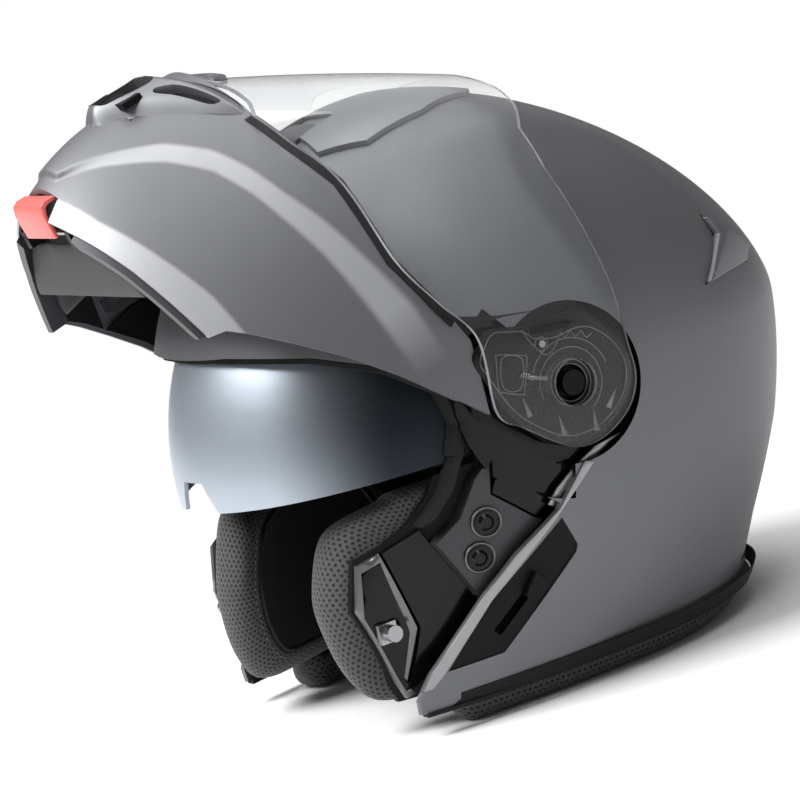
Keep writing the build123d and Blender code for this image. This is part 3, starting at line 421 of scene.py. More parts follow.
# Moulded grain: two sizes of noise that shade the colour, vary the gloss and raise the surface
grainMix = {"broadScale": 14.0, "broadDetail": 3.0, "fineShare": 0.7, "broadShare": 0.3, "middle": 0.5}
grainGroup, given, grainOut = newGroup("mouldedGrain", [
    ("Vector", "Vector", None), ("Colour", "Color", (0.1, 0.1, 0.1, 1)), ("Scale", "Float", 900.0),
    ("Spread", "Float", 0.1), ("Gloss", "Float", 0.4), ("Gloss Spread", "Float", 0.08),
], lookOutputs)
fine = noiseOf(grainGroup, given["Vector"], given["Scale"])
broad = noiseOf(grainGroup, given["Vector"], grainMix["broadScale"], grainMix["broadDetail"])
fineShare = mathNode(grainGroup, "MULTIPLY", fine, grainMix["fineShare"])
broadShare = mathNode(grainGroup, "MULTIPLY", broad, grainMix["broadShare"])
offMiddle = mathNode(grainGroup, "SUBTRACT", mathNode(grainGroup, "ADD", fineShare, broadShare),
                     grainMix["middle"])
brightness = mathNode(grainGroup, "ADD", mathNode(grainGroup, "MULTIPLY", offMiddle, given["Spread"]), 1.0)
broadOff = mathNode(grainGroup, "SUBTRACT", broad, grainMix["middle"])
glossShift = mathNode(grainGroup, "MULTIPLY", broadOff, given["Gloss Spread"])
setInputs(grainGroup, grainOut, {
    "Colour": scaledColour(grainGroup, given["Colour"], brightness),
    "Roughness": mathNode(grainGroup, "ADD", given["Gloss"], glossShift), "Height": fine,
})

# Spacer mesh: a honeycomb of dimples from three waves at 60 degrees
dimples = {"holeStart": 0.1, "holeEnd": 1.9, "yarnScale": 2400.0, "yarnFloor": 0.5, "holeRough": 0.2,
           "rough": 0.72, "yarnHeight": 0.12}
meshGroup, given, meshOut = newGroup("spacerMesh", [
    ("Vector", "Vector", None), ("Pitch", "Float", 0.0032), ("Yarn", "Color", (0.05, 0.05, 0.055, 1)),
    ("Hole", "Color", (0.005, 0.005, 0.006, 1)),
], lookOutputs)
split = addNode(meshGroup, "ShaderNodeSeparateXYZ", {0: given["Vector"]}).outputs
frequency = mathNode(meshGroup, "DIVIDE", 4 * pi / sqrt(3), given["Pitch"])
waves = []
for angle in (0, 60, 120):
    sideways = mathNode(meshGroup, "MULTIPLY", split[0], cos(radians(angle)))
    lengthways = mathNode(meshGroup, "MULTIPLY", split[1], sin(radians(angle)))
    along = mathNode(meshGroup, "ADD", sideways, lengthways)
    waves.append(mathNode(meshGroup, "COSINE", mathNode(meshGroup, "MULTIPLY", along, frequency)))
honey = mathNode(meshGroup, "ADD", mathNode(meshGroup, "ADD", waves[0], waves[1]), waves[2])
hole = rampOf(meshGroup, honey, dimples["holeStart"], dimples["holeEnd"])
yarnNoise = noiseOf(meshGroup, given["Vector"], dimples["yarnScale"])
yarn = scaledColour(meshGroup, given["Yarn"], mathNode(meshGroup, "ADD", yarnNoise, dimples["yarnFloor"]))
holeRough = mathNode(meshGroup, "MULTIPLY", hole, dimples["holeRough"])
setInputs(meshGroup, meshOut, {
    "Colour": mixColour(meshGroup, hole, yarn, given["Hole"]),
    "Roughness": mathNode(meshGroup, "ADD", holeRough, dimples["rough"]),
    "Height": mathNode(meshGroup, "SUBTRACT", mathNode(meshGroup, "MULTIPLY", yarnNoise,
                                                       dimples["yarnHeight"]), hole),
})


def startMaterial(name, coords="Object"):
    material = bpy.data.materials.new(name)
    material.use_nodes = True
    tree = material.node_tree
    return material, tree, tree.nodes["Principled BSDF"], tree.nodes.new("ShaderNodeTexCoord").outputs[coords]


def addBump(tree, shader, height, strength, distance):
    bump = addNode(tree, "ShaderNodeBump", {"Strength": strength, "Distance": distance, "Height": height})
    setInputs(tree, shader, {"Normal": bump.outputs[0]})


def groupLook(tree, shader, group, inputs, bump, deep):
    look = addNode(tree, "ShaderNodeGroup", node_tree=group)
    setInputs(tree, look, inputs)
    setInputs(tree, shader, {"Base Color": look.outputs["Colour"], "Roughness": look.outputs["Roughness"]})
    addBump(tree, shader, look.outputs["Height"], bump, deep)


def grained(name, colour, scale, spread, gloss, bump, deep, glossSpread=0.08, metallic=0.0, sheen=0.0,
            specular=0.5):
    material, tree, shader, coords = startMaterial(name)
    groupLook(tree, shader, grainGroup, {
        "Vector": coords, "Colour": (*colour, 1), "Scale": scale, "Spread": spread, "Gloss": gloss,
        "Gloss Spread": glossSpread,
    }, bump, deep)
    setInputs(tree, shader, {"Metallic": metallic, "Sheen Weight": sheen, "Specular IOR Level": specular})
    return material


def meshCloth(name, yarn, hole, pitch, bump, deep, sheen):
    material, tree, shader, coords = startMaterial(name, "UV")
    groupLook(tree, shader, meshGroup, {"Vector": coords, "Pitch": pitch, "Yarn": (*yarn, 1),
                                        "Hole": (*hole, 1)}, bump, deep)
    setInputs(tree, shader, {"Sheen Weight": sheen})
    return material


def bandHighlightPaint(name, highlightColour, **values):
    material = grained(name, **values)
    tree = material.node_tree
    shader = tree.nodes["Principled BSDF"]
    # The mesh attribute lightens the chin bar's facet bands: a painted highlight added to the light their
    # real tilt catches
    mark = addNode(tree, "ShaderNodeAttribute", attribute_name="facetHighlight")
    plain = shader.inputs["Base Color"].links[0].from_socket
    setInputs(tree, shader, {"Base Color": mixColour(tree, mark.outputs["Fac"], plain, (*highlightColour, 1))})
    return material


finishes = {
    "shellPaint": dict(colour=(0.148, 0.151, 0.16), scale=2600.0, spread=0.16, gloss=0.5, glossSpread=0.04,
                       metallic=0.55, bump=0.12, deep=0.00002, specular=0.4),
    "ventPaint": dict(colour=(0.18, 0.184, 0.195), scale=2600.0, spread=0.14, gloss=0.42, glossSpread=0.04,
                      metallic=0.6, bump=0.1, deep=0.00002),
    # The rail is a real chamfered strip of the shell paint; its lighter, more metallic tone is a painted
    # highlight
    "railHighlightPaint": dict(colour=(0.26, 0.265, 0.27), scale=2200.0, spread=0.14, gloss=0.34, glossSpread=0.04,
                      metallic=0.8, bump=0.1, deep=0.00002),
    "edgeGrey": dict(colour=(0.14, 0.14, 0.145), scale=2000.0, spread=0.2, gloss=0.3, metallic=0.8, bump=0.1,
                     deep=0.00002),
    "plateGrey": dict(colour=(0.05, 0.05, 0.054), scale=1800.0, spread=0.16, gloss=0.4, metallic=0.55,
                      bump=0.2,
                      deep=0.00003, specular=0.3),
    "blackSatin": dict(colour=(0.005, 0.005, 0.006), scale=1600.0, spread=0.3, gloss=0.4, bump=0.2,
                       deep=0.00002, specular=0.12),
    "glossBlack": dict(colour=(0.003, 0.003, 0.0035), scale=60.0, spread=0.2, gloss=0.14, glossSpread=0.05,
                       bump=0.01,
                       deep=0.000005, specular=0.22),
    "matteRubber": dict(colour=(0.008, 0.008, 0.009), scale=1200.0, spread=0.3, gloss=0.62, bump=0.3,
                        deep=0.00005, specular=0.2),
    "softRubber": dict(colour=(0.01, 0.01, 0.011), scale=1200.0, spread=0.3, gloss=0.5, bump=0.2,
                       deep=0.00004, specular=0.2),
    "foamBeads": dict(colour=(0.012, 0.012, 0.013), scale=320.0, spread=0.5, gloss=0.75, bump=0.8,
                      deep=0.0006, specular=0.2),
    "leverRed": dict(colour=(0.75, 0.125, 0.11), scale=1500.0, spread=0.1, gloss=0.34, bump=0.1,
                     deep=0.00003),
    "steel": dict(colour=(0.3, 0.3, 0.31), scale=1400.0, spread=0.2, gloss=0.26, glossSpread=0.12,
                  metallic=1.0, bump=0.1, deep=0.00002),
    "thread": dict(colour=(0.1, 0.1, 0.105), scale=2500.0, spread=0.4, gloss=0.6, bump=0.3, deep=0.00005),
    "leatherette": dict(colour=(0.009, 0.009, 0.01), scale=1100.0, spread=0.35, gloss=0.55, bump=0.35,
                        deep=0.00012,
                        sheen=0.06, specular=0.25),
    "darkLining": dict(colour=(0.03, 0.03, 0.033), scale=1500.0, spread=0.4, gloss=0.7, bump=0.4, deep=0.0001,
                       sheen=0.08, specular=0.25),
}
finish = {name: grained(name, **values) for name, values in finishes.items()}
# The chin bar's paint, with its facet bands painted lighter as a painted highlight
finish["chinPaintBandHighlight"] = bandHighlightPaint("chinPaintBandHighlight", (0.37, 0.375, 0.39), **finishes["shellPaint"])
finish["spacerMesh"] = meshCloth("spacerMesh", (0.045, 0.045, 0.05), (0.001, 0.001, 0.0015), 0.0027, 1.0,
                                 0.0011, 0.15)

# Webbing: slightly uneven ribs across the tape
ribbed = {"scale": 300.0, "distortion": 0.6, "dark": (0.006, 0.006, 0.007, 1),
          "light": (0.03, 0.03, 0.032, 1),
          "bump": 0.6, "deep": 0.0002, "rough": 0.8}
finish["webbing"], tree, shader, coords = startMaterial("webbing", "UV")
ribs = addNode(tree, "ShaderNodeTexWave", {"Scale": ribbed["scale"], "Distortion": ribbed["distortion"],
                                           "Vector": coords}).outputs["Fac"]
setInputs(tree, shader, {"Base Color": mixColour(tree, ribs, ribbed["dark"], ribbed["light"]),
                         "Roughness": ribbed["rough"]})
addBump(tree, shader, ribs, ribbed["bump"], ribbed["deep"])

# Clear shield
glass = {"smear": 9.0, "low": (0.93, 0.94, 0.95, 1), "high": (0.97, 0.975, 0.98, 1), "rough": 0.02,
         "through": 1.0, "ior": 1.3}
finish["clearShield"], tree, shader, coords = startMaterial("clearShield")
smear = noiseOf(tree, coords, glass["smear"])
setInputs(tree, shader, {
    "Base Color": mixColour(tree, smear, glass["low"], glass["high"]),
    "Roughness": mathNode(tree, "MULTIPLY", smear, glass["rough"]),
    "Transmission Weight": glass["through"], "IOR": glass["ior"],
})

# The shield's cut and polished edges scatter light
cutEdge = {"grain": 160.0, "low": (0.3, 0.31, 0.33, 1), "high": (0.5, 0.51, 0.53, 1), "roughSpread": 0.1,
           "rough": 0.12,
           "through": 0.45, "ior": 1.49}
finish["clearEdge"], tree, shader, coords = startMaterial("clearEdge")
edgeNoise = noiseOf(tree, coords, cutEdge["grain"])
setInputs(tree, shader, {
    "Base Color": mixColour(tree, edgeNoise, cutEdge["low"], cutEdge["high"]),
    "Roughness": mathNode(tree, "ADD", mathNode(tree, "MULTIPLY", edgeNoise, cutEdge["roughSpread"]),
                          cutEdge["rough"]),
    "Transmission Weight": cutEdge["through"], "IOR": cutEdge["ior"],
})

# Sun visor: a mirror coat that fades to dark tint at the sides
coat = {"grain": 6.0, "fadeStart": 0.045, "fadeEnd": 0.088, "low": (0.42, 0.47, 0.53, 1),
        "high": (0.47, 0.52, 0.58, 1),
        "tint": (0.02, 0.025, 0.032, 1), "roughSpread": 0.05, "rough": 0.38, "metallic": 0.85, "alpha": 0.95}
finish["mirrorVisor"], tree, shader, coords = startMaterial("mirrorVisor")
coatNoise = noiseOf(tree, coords, coat["grain"])
sideways = addNode(tree, "ShaderNodeSeparateXYZ", {0: coords}).outputs[0]
coatFade = rampOf(tree, mathNode(tree, "ABSOLUTE", sideways), coat["fadeStart"], coat["fadeEnd"])
coatTone = mixColour(tree, coatNoise, coat["low"], coat["high"])
setInputs(tree, shader, {
    "Base Color": mixColour(tree, coatFade, coatTone, coat["tint"]),
    "Roughness": mathNode(tree, "ADD", mathNode(tree, "MULTIPLY", coatNoise, coat["roughSpread"]),
                          coat["rough"]),
    "Metallic": coat["metallic"], "Alpha": coat["alpha"],
})
print("finishes mixed")

# Floor, white far from the helmet and shaded by it nearby
floorMaterial, tree, shader, coords = startMaterial("paleFloor")
distance = addNode(tree, "ShaderNodeVectorMath", {0: coords}, operation="LENGTH").outputs["Value"]
fade = rampOf(tree, distance, studio["fadeStart"], studio["fadeEnd"])
glow = addNode(tree, "ShaderNodeEmission", {"Strength": 1.0})
shades = [(*[tone] * 3, 1) for tone in (studio["floorShade"], studio["floorShade"] + studio["floorSpread"])]
floorNoise = noiseOf(tree, coords, studio["floorGrain"])
setInputs(tree, shader, {"Base Color": mixColour(tree, floorNoise, *shades),
                         "Roughness": studio["floorRough"]})
floorLook = addNode(tree, "ShaderNodeMixShader", {
    0: mathNode(tree, "MULTIPLY", fade, seenDirectly(tree)), 1: shader.outputs[0], 2: glow.outputs[0],
})
setInputs(tree, tree.nodes["Material Output"], {"Surface": floorLook.outputs[0]})
half = studio["floorSize"] / 2
floor = newPiece("floor", [(-half, -half, 0), (half, -half, 0), (half, half, 0), (-half, half, 0)],
                 [(0, 1, 2, 3)])
floor.data.materials.append(floorMaterial)
floor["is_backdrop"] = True

# Outlines seen from the side, Y and Z in millimetres
faceCut = [
    (-260, 46), (-118, 46), (-95, 40), (-70, 28), (-52, 12), (-46, 4), (-41, -20), (-32, -38),
    (-18.5, -49.5), (-20, -52.5), (-42, -65.5), (-61, -80), (-76, -94.5), (-89, -107), (-96, -117),
    (-96, -150), (-260, -150),
]
openingEdge = [
    (-260, 43), (-118, 43), (-95, 37), (-70, 25), (-54, 11), (-52, -3), (-57, -16), (-66, -32), (-78, -43),
    (-92, -49), (-103, -54), (-108, -74), (-101, -109), (-97, -125), (-97, -150), (-260, -150),
]
panelEdge = [(-19, -56), (-14, -70), (-15, -73), (-56, -107), (-82, -107.5), (-60, -83.5)]
cornerEdge = [(-31, -12), (-35, -18), (-44, -37), (-27, -53), (2, -34), (-12, -34), (-20, -28)]
plateEdge = [(-42, -22), (-50, -29), (-60, -44), (-72, -52), (-59, -80), (-24, -55.5), (-28, -53.5),
             (-45, -37.6)]
chinEdge = [
    (-260, -41), (-164, -42.5), (-147, -40), (-125, -35), (-87, -39), (-61, -34.5), (-41, -31.4),
    (-13, -40.2), (-9.5, -41.2), (-21, -49), (-23.5, -51.6), (-44.2, -65.6), (-63.3, -80.6), (-78.2, -94.6),
    (-91.2, -107.6), (-98, -115.6), (-99, -123), (-118, -125.6), (-135, -128.2), (-147, -131),
    (-163, -135.4), (-171, -138), (-260, -140),
]
armEdge = [
    (-34, -36), (-21, -49), (-24, -52), (-46, -66), (-62, -76), (-66, -42), (-56, -35), (-41, -29.5),
    (-31, -6), (-20, 17), (-5, 28), (11, 30.5), (20, 28), (27, 14), (30, 3), (26, -12), (17, -22),
    (-8, -36),
]
pocket = {
    "radius": 35.8, "frontRadius": 51.0, "floor": 112.0, "wall": 3.5, "blockRadius": 52.5, "start": 124.0,
    "arc": 134.0, "blockInset": 1, "paintRadius": 54, "paintFrom": 100, "paintInset": 0.3,
}
cut = {"near": 60, "far": 150, "through": 200}

# Crease lines that shape the paint: side flare, roof ridge, and the chin bar's facets, whose bands also get a
# painted highlight
flare = {
    "line": [(-30, -123), (-8, -107), (28, -82), (56, -61), (86, -55), (121, -56), (165, -60)],
    "slope": 0.075, "most": 3.2, "soft": 1.6, "from": -40, "grow": 50, "rim": 123.5, "rimGrow": 6,
}
roofRidge = {
    "line": [(-60, 56, 99), (38, 63, 109), (61, 60, 101), (83, 66, 84), (108, 79, 52)],
    "rise": 1.5, "reach": 17.0, "front": 60, "rear": 118, "rearGrow": 40,
}
upperTop = [(10, -119), (22, -101.6), (38, -79), (53, -66.5), (65.6, -60.8), (78, -57), (90, -51.7),
            (101, -47.8), (112, -43)]
upperLow = [(10, -121), (32, -99), (44, -85.7), (58.6, -74), (72.6, -68.5), (83, -66), (95, -62.7),
            (103, -61.8), (114, -61)]
lowerTop = [(0, -130), (11, -128), (39, -123.6), (62, -116.4), (81, -110.3), (95, -109.6), (104, -110)]
# rise, tuck and level shape the real facets; edge, middle, middleGrow and lowGrow shape the painted
# highlight's mask
chinFacets = {
    "rise": 1.9, "tuck": 0.13, "tuckMost": 1.5, "level": 0.7, "least": 2.5, "soft": 0.8, "from": 40,
    "grow": 30,
    "edge": 6, "middle": 6, "middleGrow": 30, "lowGrow": 1.2,
}


def soften(value, width):
    return 0.5 * (value + np.sqrt(value ** 2 + width ** 2)) - width / 2


def gridNormals(grid, around, probe, axis, sign):
    du = np.roll(grid, -1, 1) - np.roll(grid, 1, 1) if around else np.gradient(grid, axis=1)
    n = np.cross(du, np.gradient(grid, axis=0))
    n = n / np.maximum(np.linalg.norm(n, axis=2, keepdims=True), 1e-9)
    return -n if n[(*probe, axis)] * sign < 0 else n


def shellRows(inset, shares, count):
    angles = np.arange(count) * 2 * pi / count
    return np.stack([domeRing(inset, s, angles) for s in shares])


def dome(inset, shares, count):
    verts = np.vstack([shellRows(inset, shares, count).reshape(-1, 3), [[0, 0, helmet["crown"] - inset]]])
    last = (len(shares) - 1) * count
    faces = gridFaces(len(shares), count, True) + [tuple(range(count))[::-1]]
    return verts, faces + [(last + c, last + (c + 1) % count, last + count) for c in range(count)]


def domeShares(low, high):
    return np.concatenate([np.linspace(-1, 0, low)[:-1], np.sin(np.linspace(0, pi / 2, high)[:-1])])


# Outer shell
shellGrid = {"around": 300, "low": 46, "high": 62, "boundAround": 120, "boundInset": 1.8, "sharp": 32}
turns = shellGrid["around"]
steps = domeShares(shellGrid["low"], shellGrid["high"])
outside = shellRows(0.0, steps, turns)
x, y, z = np.moveaxis(outside, -1, 0)
below = np.interp(y, *np.array(flare["line"]).T) - z
push = -np.minimum(soften(below, flare["soft"]) * flare["slope"], flare["most"])
grown = np.clip((y - flare["from"]) / flare["grow"], 0, 1)
push *= grown * np.clip((z + flare["rim"]) / flare["rimGrow"], 0, 1)
ridge = np.array(roofRidge["line"], float)
away = np.hypot(np.abs(x) - np.interp(y, ridge[:, 0], ridge[:, 1]),
                z - np.interp(y, ridge[:, 0], ridge[:, 2]))
lift = roofRidge["rise"] * np.clip(1 - away / roofRidge["reach"], 0, 1)
lift *= np.clip((y + roofRidge["front"]) / roofRidge["front"], 0, 1)
push += lift * np.clip((roofRidge["rear"] - y) / roofRidge["rearGrow"], 0, 1)
outside = outside + gridNormals(outside, True, (40, 0), 0, 1) * push[..., None]
inside = shellRows(helmet["wall"], steps, turns)[::-1]
crowns = [[[0, 0, helmet["crown"]]], [[0, 0, helmet["crown"] - helmet["wall"]]]]
verts = np.vstack([outside.reshape(-1, 3), *crowns, inside.reshape(-1, 3)])
rowCount = len(steps)
topOut, topIn, base = rowCount * turns, rowCount * turns + 1, rowCount * turns + 2
last = (rowCount - 1) * turns
faces = gridFaces(rowCount, turns, True)
faces += [(last + c, last + (c + 1) % turns, topOut) for c in range(turns)]
faces += [(base + (c + 1) % turns, base + c, topIn) for c in range(turns)]
faces += [tuple(base + i for i in f) for f in gridFaces(rowCount, turns, True)]
faces += [(base + last + c, base + last + (c + 1) % turns, (c + 1) % turns, c) for c in range(turns)]
outerShell = newPiece("outerShell", toPlace(verts), faces)
sweep = np.radians([pocket["start"] + pocket["arc"] * i / 24 for i in range(25)])
sector = [(0, 0)] + [(pocket["frontRadius"] * cos(a), pocket["frontRadius"] * sin(a)) for a in sweep]
floors, cutters = [], []
for side in (1, -1):
    near, far, floorAt = cut["near"] * side, cut["far"] * side, pocket["floor"] * side
    blockEnds = [(pocket["floor"] - pocket["wall"]) * side,
                 (helmet["halfWidth"] - pocket["blockInset"]) * side]
    disc = barAlongX(pocket["blockRadius"], *blockEnds)
    verts, faces = dome(shellGrid["boundInset"], steps, shellGrid["boundAround"])
    combine(disc, [newPiece("tool", toPlace(verts), faces)], "INTERSECT")
    combine(disc, [sidePrism(openingEdge, near, far), sidePrism(faceCut, floorAt, far),
                   sidePrism(cornerEdge, near, far), sidePrism(plateEdge, near, far)])
    floors.append(disc)
    cutters += [barAlongX(pocket["radius"], floorAt, far), sidePrism(sector, floorAt, far),
                sidePrism(panelEdge, near, far)]
combine(outerShell, [sidePrism(faceCut, -cut["through"], cut["through"])])
combine(outerShell, floors, "UNION")
combine(outerShell, cutters)
tidy(outerShell, shellGrid["sharp"])
paint(outerShell, "shellPaint", "glossBlack")
for poly in outerShell.data.polygons:
    x, y, z = poly.center * 1000 - Vector((0, helmet["backShift"], helmet["pivotHeight"]))
    inPocket = y * y + z * z < pocket["paintRadius"] ** 2 and abs(x) > pocket["paintFrom"]
    poly.material_index = 1 if inPocket and abs(x) < float(domeX(y, z, pocket["paintInset"])) else 0
print("outer shell", len(outerShell.data.polygons), "faces")
dress(outerShell, "shell", None, ["outer_shell"])


def closedSheet(name, outerGrid, innerGrid, opened=True):
    n, m = outerGrid.shape[:2]
    verts = np.vstack([outerGrid.reshape(-1, 3), innerGrid.reshape(-1, 3)])
    faces = gridFaces(n, m) + [tuple(n * m + i for i in f[::-1]) for f in gridFaces(n, m)]
    loop = list(range(m)) + [r * m + m - 1 for r in range(1, n)]
    loop += [(n - 1) * m + c for c in range(m - 2, -1, -1)] + [r * m for r in range(n - 2, 0, -1)]
    faces += [(a, n * m + a, n * m + b, b) for a, b in zip(loop, loop[1:] + loop[:1])]
    return newPiece(name, toPlace(verts, opened), faces)


def boxTool(low, high):
    (x0, y0, z0), (x1, y1, z1) = low, high
    return sidePrism([(y0, z0), (y1, z0), (y1, z1), (y0, z1)], x0, x1, True)


def nearestIn(points):
    tree = KDTree(len(points))
    for i, p in enumerate(points):
        tree.insert(p, i)
    tree.balance()
    return tree


# Chin bar
chinGrid = {
    "low": -146, "high": 30, "rows": 190, "from": 0.94, "to": 2.06, "columns": 400, "wall": 3.6, "sharp": 32,
    "leverNotch": ((-17, -230, -143), (17, -120, -126.5)), "ventNotch": ((-19, -230, -80), (19, -150, -62)),
    "armIn": 115.0, "armOut": 116.0, "armInset": 1.2, "armAround": 160,
    "lug": ((22, -158.6, -134), (26, -150.2, -124)), "highlightReach": 0.0016, "highlightSoft": 1e-5,
}
heights = np.linspace(chinGrid["low"], chinGrid["high"], chinGrid["rows"])
front = np.linspace(pi * chinGrid["from"], pi * chinGrid["to"], chinGrid["columns"])


def chinRows(inset):
    return np.stack([chinRing(inset, z, front) for z in heights])


face = chinRows(0.0)
c = chinFacets
across, z = np.abs(face[..., 0]), face[..., 2]
top, low, lower = (np.interp(across, *np.array(line, float).T) for line in (upperTop, upperLow, lowerTop))
share = np.clip((z - low) / np.maximum(top - low, c["least"]), 0, 1)
push = c["rise"] * share - np.minimum(soften(lower - z, c["soft"]) * c["tuck"], c["tuckMost"])
fadeBack = np.clip((-face[..., 1] - c["from"]) / c["grow"], 0, 1)
# Masks for the painted highlight: the upper facet band and the tucked lower band are painted lighter
upperBandHighlight = np.clip(np.minimum(share, 1 - share) * c["edge"], 0, 1)
upperBandHighlight = upperBandHighlight * np.clip((across - c["middle"]) / c["middleGrow"], 0, 1) * fadeBack
lowerBandHighlight = np.clip((lower - z) / c["lowGrow"], 0, 1) * fadeBack
bandHighlightMask = np.maximum(upperBandHighlight, lowerBandHighlight).reshape(-1)
face = face + gridNormals(face, False, (80, 200), 1, -1) * ((push - c["level"]) * fadeBack)[..., None]
chinBar = closedSheet("chinBar", face, chinRows(chinGrid["wall"]))
combine(chinBar, [sidePrism(chinEdge, -cut["through"], cut["through"], True)], "INTERSECT")
combine(chinBar, [boxTool(*chinGrid["leverNotch"]), boxTool(*chinGrid["ventNotch"])])
paint(chinBar, "chinPaintBandHighlight")
around = chinGrid["armAround"]
full = np.linspace(0, 2 * pi, around, endpoint=False)
pieces = [chinBar]
for side in (1, -1):
    arm = sidePrism(armEdge, chinGrid["armIn"] * side, chinGrid["armOut"] * side, True)
    bound = np.stack([chinRing(chinGrid["armInset"], z, full) for z in heights])
    ends = [tuple(range(around)), tuple((len(heights) - 1) * around + i for i in range(around))]
    combine(arm, [newPiece("tool", toPlace(bound, True), gridFaces(len(heights), around, True) + ends)],
            "INTERSECT")
    lug = boxTool(*[(x * side, y, z) for x, y, z in chinGrid["lug"]])
    for piece in (arm, lug):
        paint(piece, "blackSatin")
        pieces.append(piece)
chinBar = joined("chinBar", pieces)
# The painted-highlight mask is carried from the grid to the chin bar's vertices
faceSpots = nearestIn(toPlace(face, True))
values = np.zeros(len(chinBar.data.vertices), np.float32)
for i, vertex in enumerate(chinBar.data.vertices):
    hits = faceSpots.find_n(vertex.co, 3)
    if hits[0][2] < chinGrid["highlightReach"]:
        weights = [1 / (h[2] + chinGrid["highlightSoft"]) for h in hits]
        values[i] = sum(w * bandHighlightMask[h[1]] for w, h in zip(weights, hits)) / sum(weights)
chinBar.data.attributes.new("facetHighlight", "FLOAT", "POINT").data.foreach_set("value", values)
tidy(chinBar, chinGrid["sharp"])
print("chin bar", len(chinBar.data.polygons), "faces")
dress(chinBar, "chin_bar", None, ["chin_bar_shell"])

# Clear shield with polished edges
shieldEdge = [
    (-260, 67), (-112, 67), (-105, 62), (-99, 51), (-82, 45), (-64, 43), (-46, 41), (-25, 38), (-2, 32),
    (14, 27.5), (24, 17), (28, 1), (25, -13), (15, -23), (4, -31), (-9, -39), (-41, -30), (-63, -36.5),
    (-89, -42.5), (-128, -40), (-150, -45), (-164.5, -47), (-168.5, -42), (-174, -39.5), (-260, -39.5),
]
shieldShape = {
    "half": 127.0, "tall": 150.0, "reach": 159.5, "lean": 0.545, "bow": 830.0, "wall": 2.2, "side": 2.5,
    "plan": 2.4,
    "bore": 10.3, "endPoints": 150, "rows": 90, "columns": 320, "low": -66, "high": 74, "from": 0.9,
    "to": 2.1, "sharp": 32, "edgeDot": 0.7,
}
liftTab = {"low": -38.0, "high": -32.0, "proud": 3.0, "sunk": 1.1, "from": 1.4, "to": 1.6, "half": 24}


def shieldRow(inset, height, angles):
    f = shieldShape
    narrow = (1 - abs(height / f["tall"]) ** f["side"]) ** (1 / f["side"])
    ahead = f["reach"] - f["lean"] * height - height ** 2 / (2 * f["bow"])
    reach = np.where(np.sin(angles) > 0, f["reach"], ahead - inset)
    x = (f["half"] * narrow - inset) * wave(np.cos(angles), f["plan"])
    return np.stack([x, reach * wave(np.sin(angles), f["plan"]), np.full_like(x, height)], 1)


def shieldSheet(name, f, outer, inner, rows, columns):
    turn = np.linspace(pi * f["from"], pi * f["to"], columns)
    spots = np.linspace(f["low"], f["high"], rows)
    grids = [np.stack([shieldRow(inset, z, turn) for z in spots]) for inset in (outer, inner)]
    return closedSheet(name, *grids), grids[0]


f = shieldShape
clearShield, shieldOut = shieldSheet("clearShield", f, 0, f["wall"], f["rows"], f["columns"])
roundEnd = smoothLine(shieldEdge[4:21], f["endPoints"])
shieldTool = sidePrism([*shieldEdge[:4], *roundEnd, *shieldEdge[21:]], -cut["through"], cut["through"], True)
combine(clearShield, [shieldTool], "INTERSECT")
bores = [barAlongX(f["bore"], cut["near"] * side, cut["far"] * side, opened=True) for side in (1, -1)]
combine(clearShield, bores)
tab = shieldSheet("tool", liftTab, -liftTab["proud"], liftTab["sunk"], 8, 60)[0]
combine(tab, [boxTool((-liftTab["half"], -230, -50), (liftTab["half"], -100, -20))], "INTERSECT")
combine(clearShield, [tab], "UNION")
tidy(clearShield, f["sharp"])
turned = toPlace(shieldOut, True).reshape(shieldOut.shape)
faceNormals = gridNormals(turned, False, (0, 0), 0, 0).reshape(-1, 3)
surface = nearestIn(turned.reshape(-1, 3))
paint(clearShield, "clearShield", "clearEdge")
for poly in clearShield.data.polygons:
    near = surface.find(poly.center)[1]
    poly.material_index = 1 if abs(poly.normal.dot(Vector(faceNormals[near]))) < f["edgeDot"] else 0
dress(clearShield, "shield", None, ["shield"])
print("shield", len(clearShield.data.polygons), "faces")


# Plates that follow the dome on both sides, with rounded edges that catch the light
def domeSolid(inset):
    verts, faces = dome(inset, domeShares(30, 40), 160)
    return newPiece("tool", toPlace(verts), faces)


def rounded(obj, width, segments=2, angle=38):
    bevel = obj.modifiers.new("roundedEdges", "BEVEL")
    bevel.width = width / 1000
    bevel.segments = segments
    bevel.limit_method = "ANGLE"
    bevel.angle_limit = radians(angle)
    bevel.use_clamp_overlap = True
    baked(obj)


def domePlate(name, outline, outer, inner, colour, edge, cuts=()):
    plate = sidePrism(outline, 50, cut["far"])
    combine(plate, [domeSolid(outer)], "INTERSECT")
    combine(plate, [domeSolid(inner), *cuts])
    rounded(plate, edge)
    tidy(plate, 40)
    plate.name = name
    paint(plate, colour)
    return plate


def inward(outline, gap):
    p = np.array(outline, float)
    middle = p.mean(0)
    away = p - middle
    size = np.linalg.norm(away, axis=1, keepdims=True)
    return middle + away * (1 - gap / size)


def dressPair(left, twin, body, nodes=((), ())):
    right = mirrored(left, twin)
    for piece, stands in zip((left, right), nodes):
        dress(piece, body, None, stands)


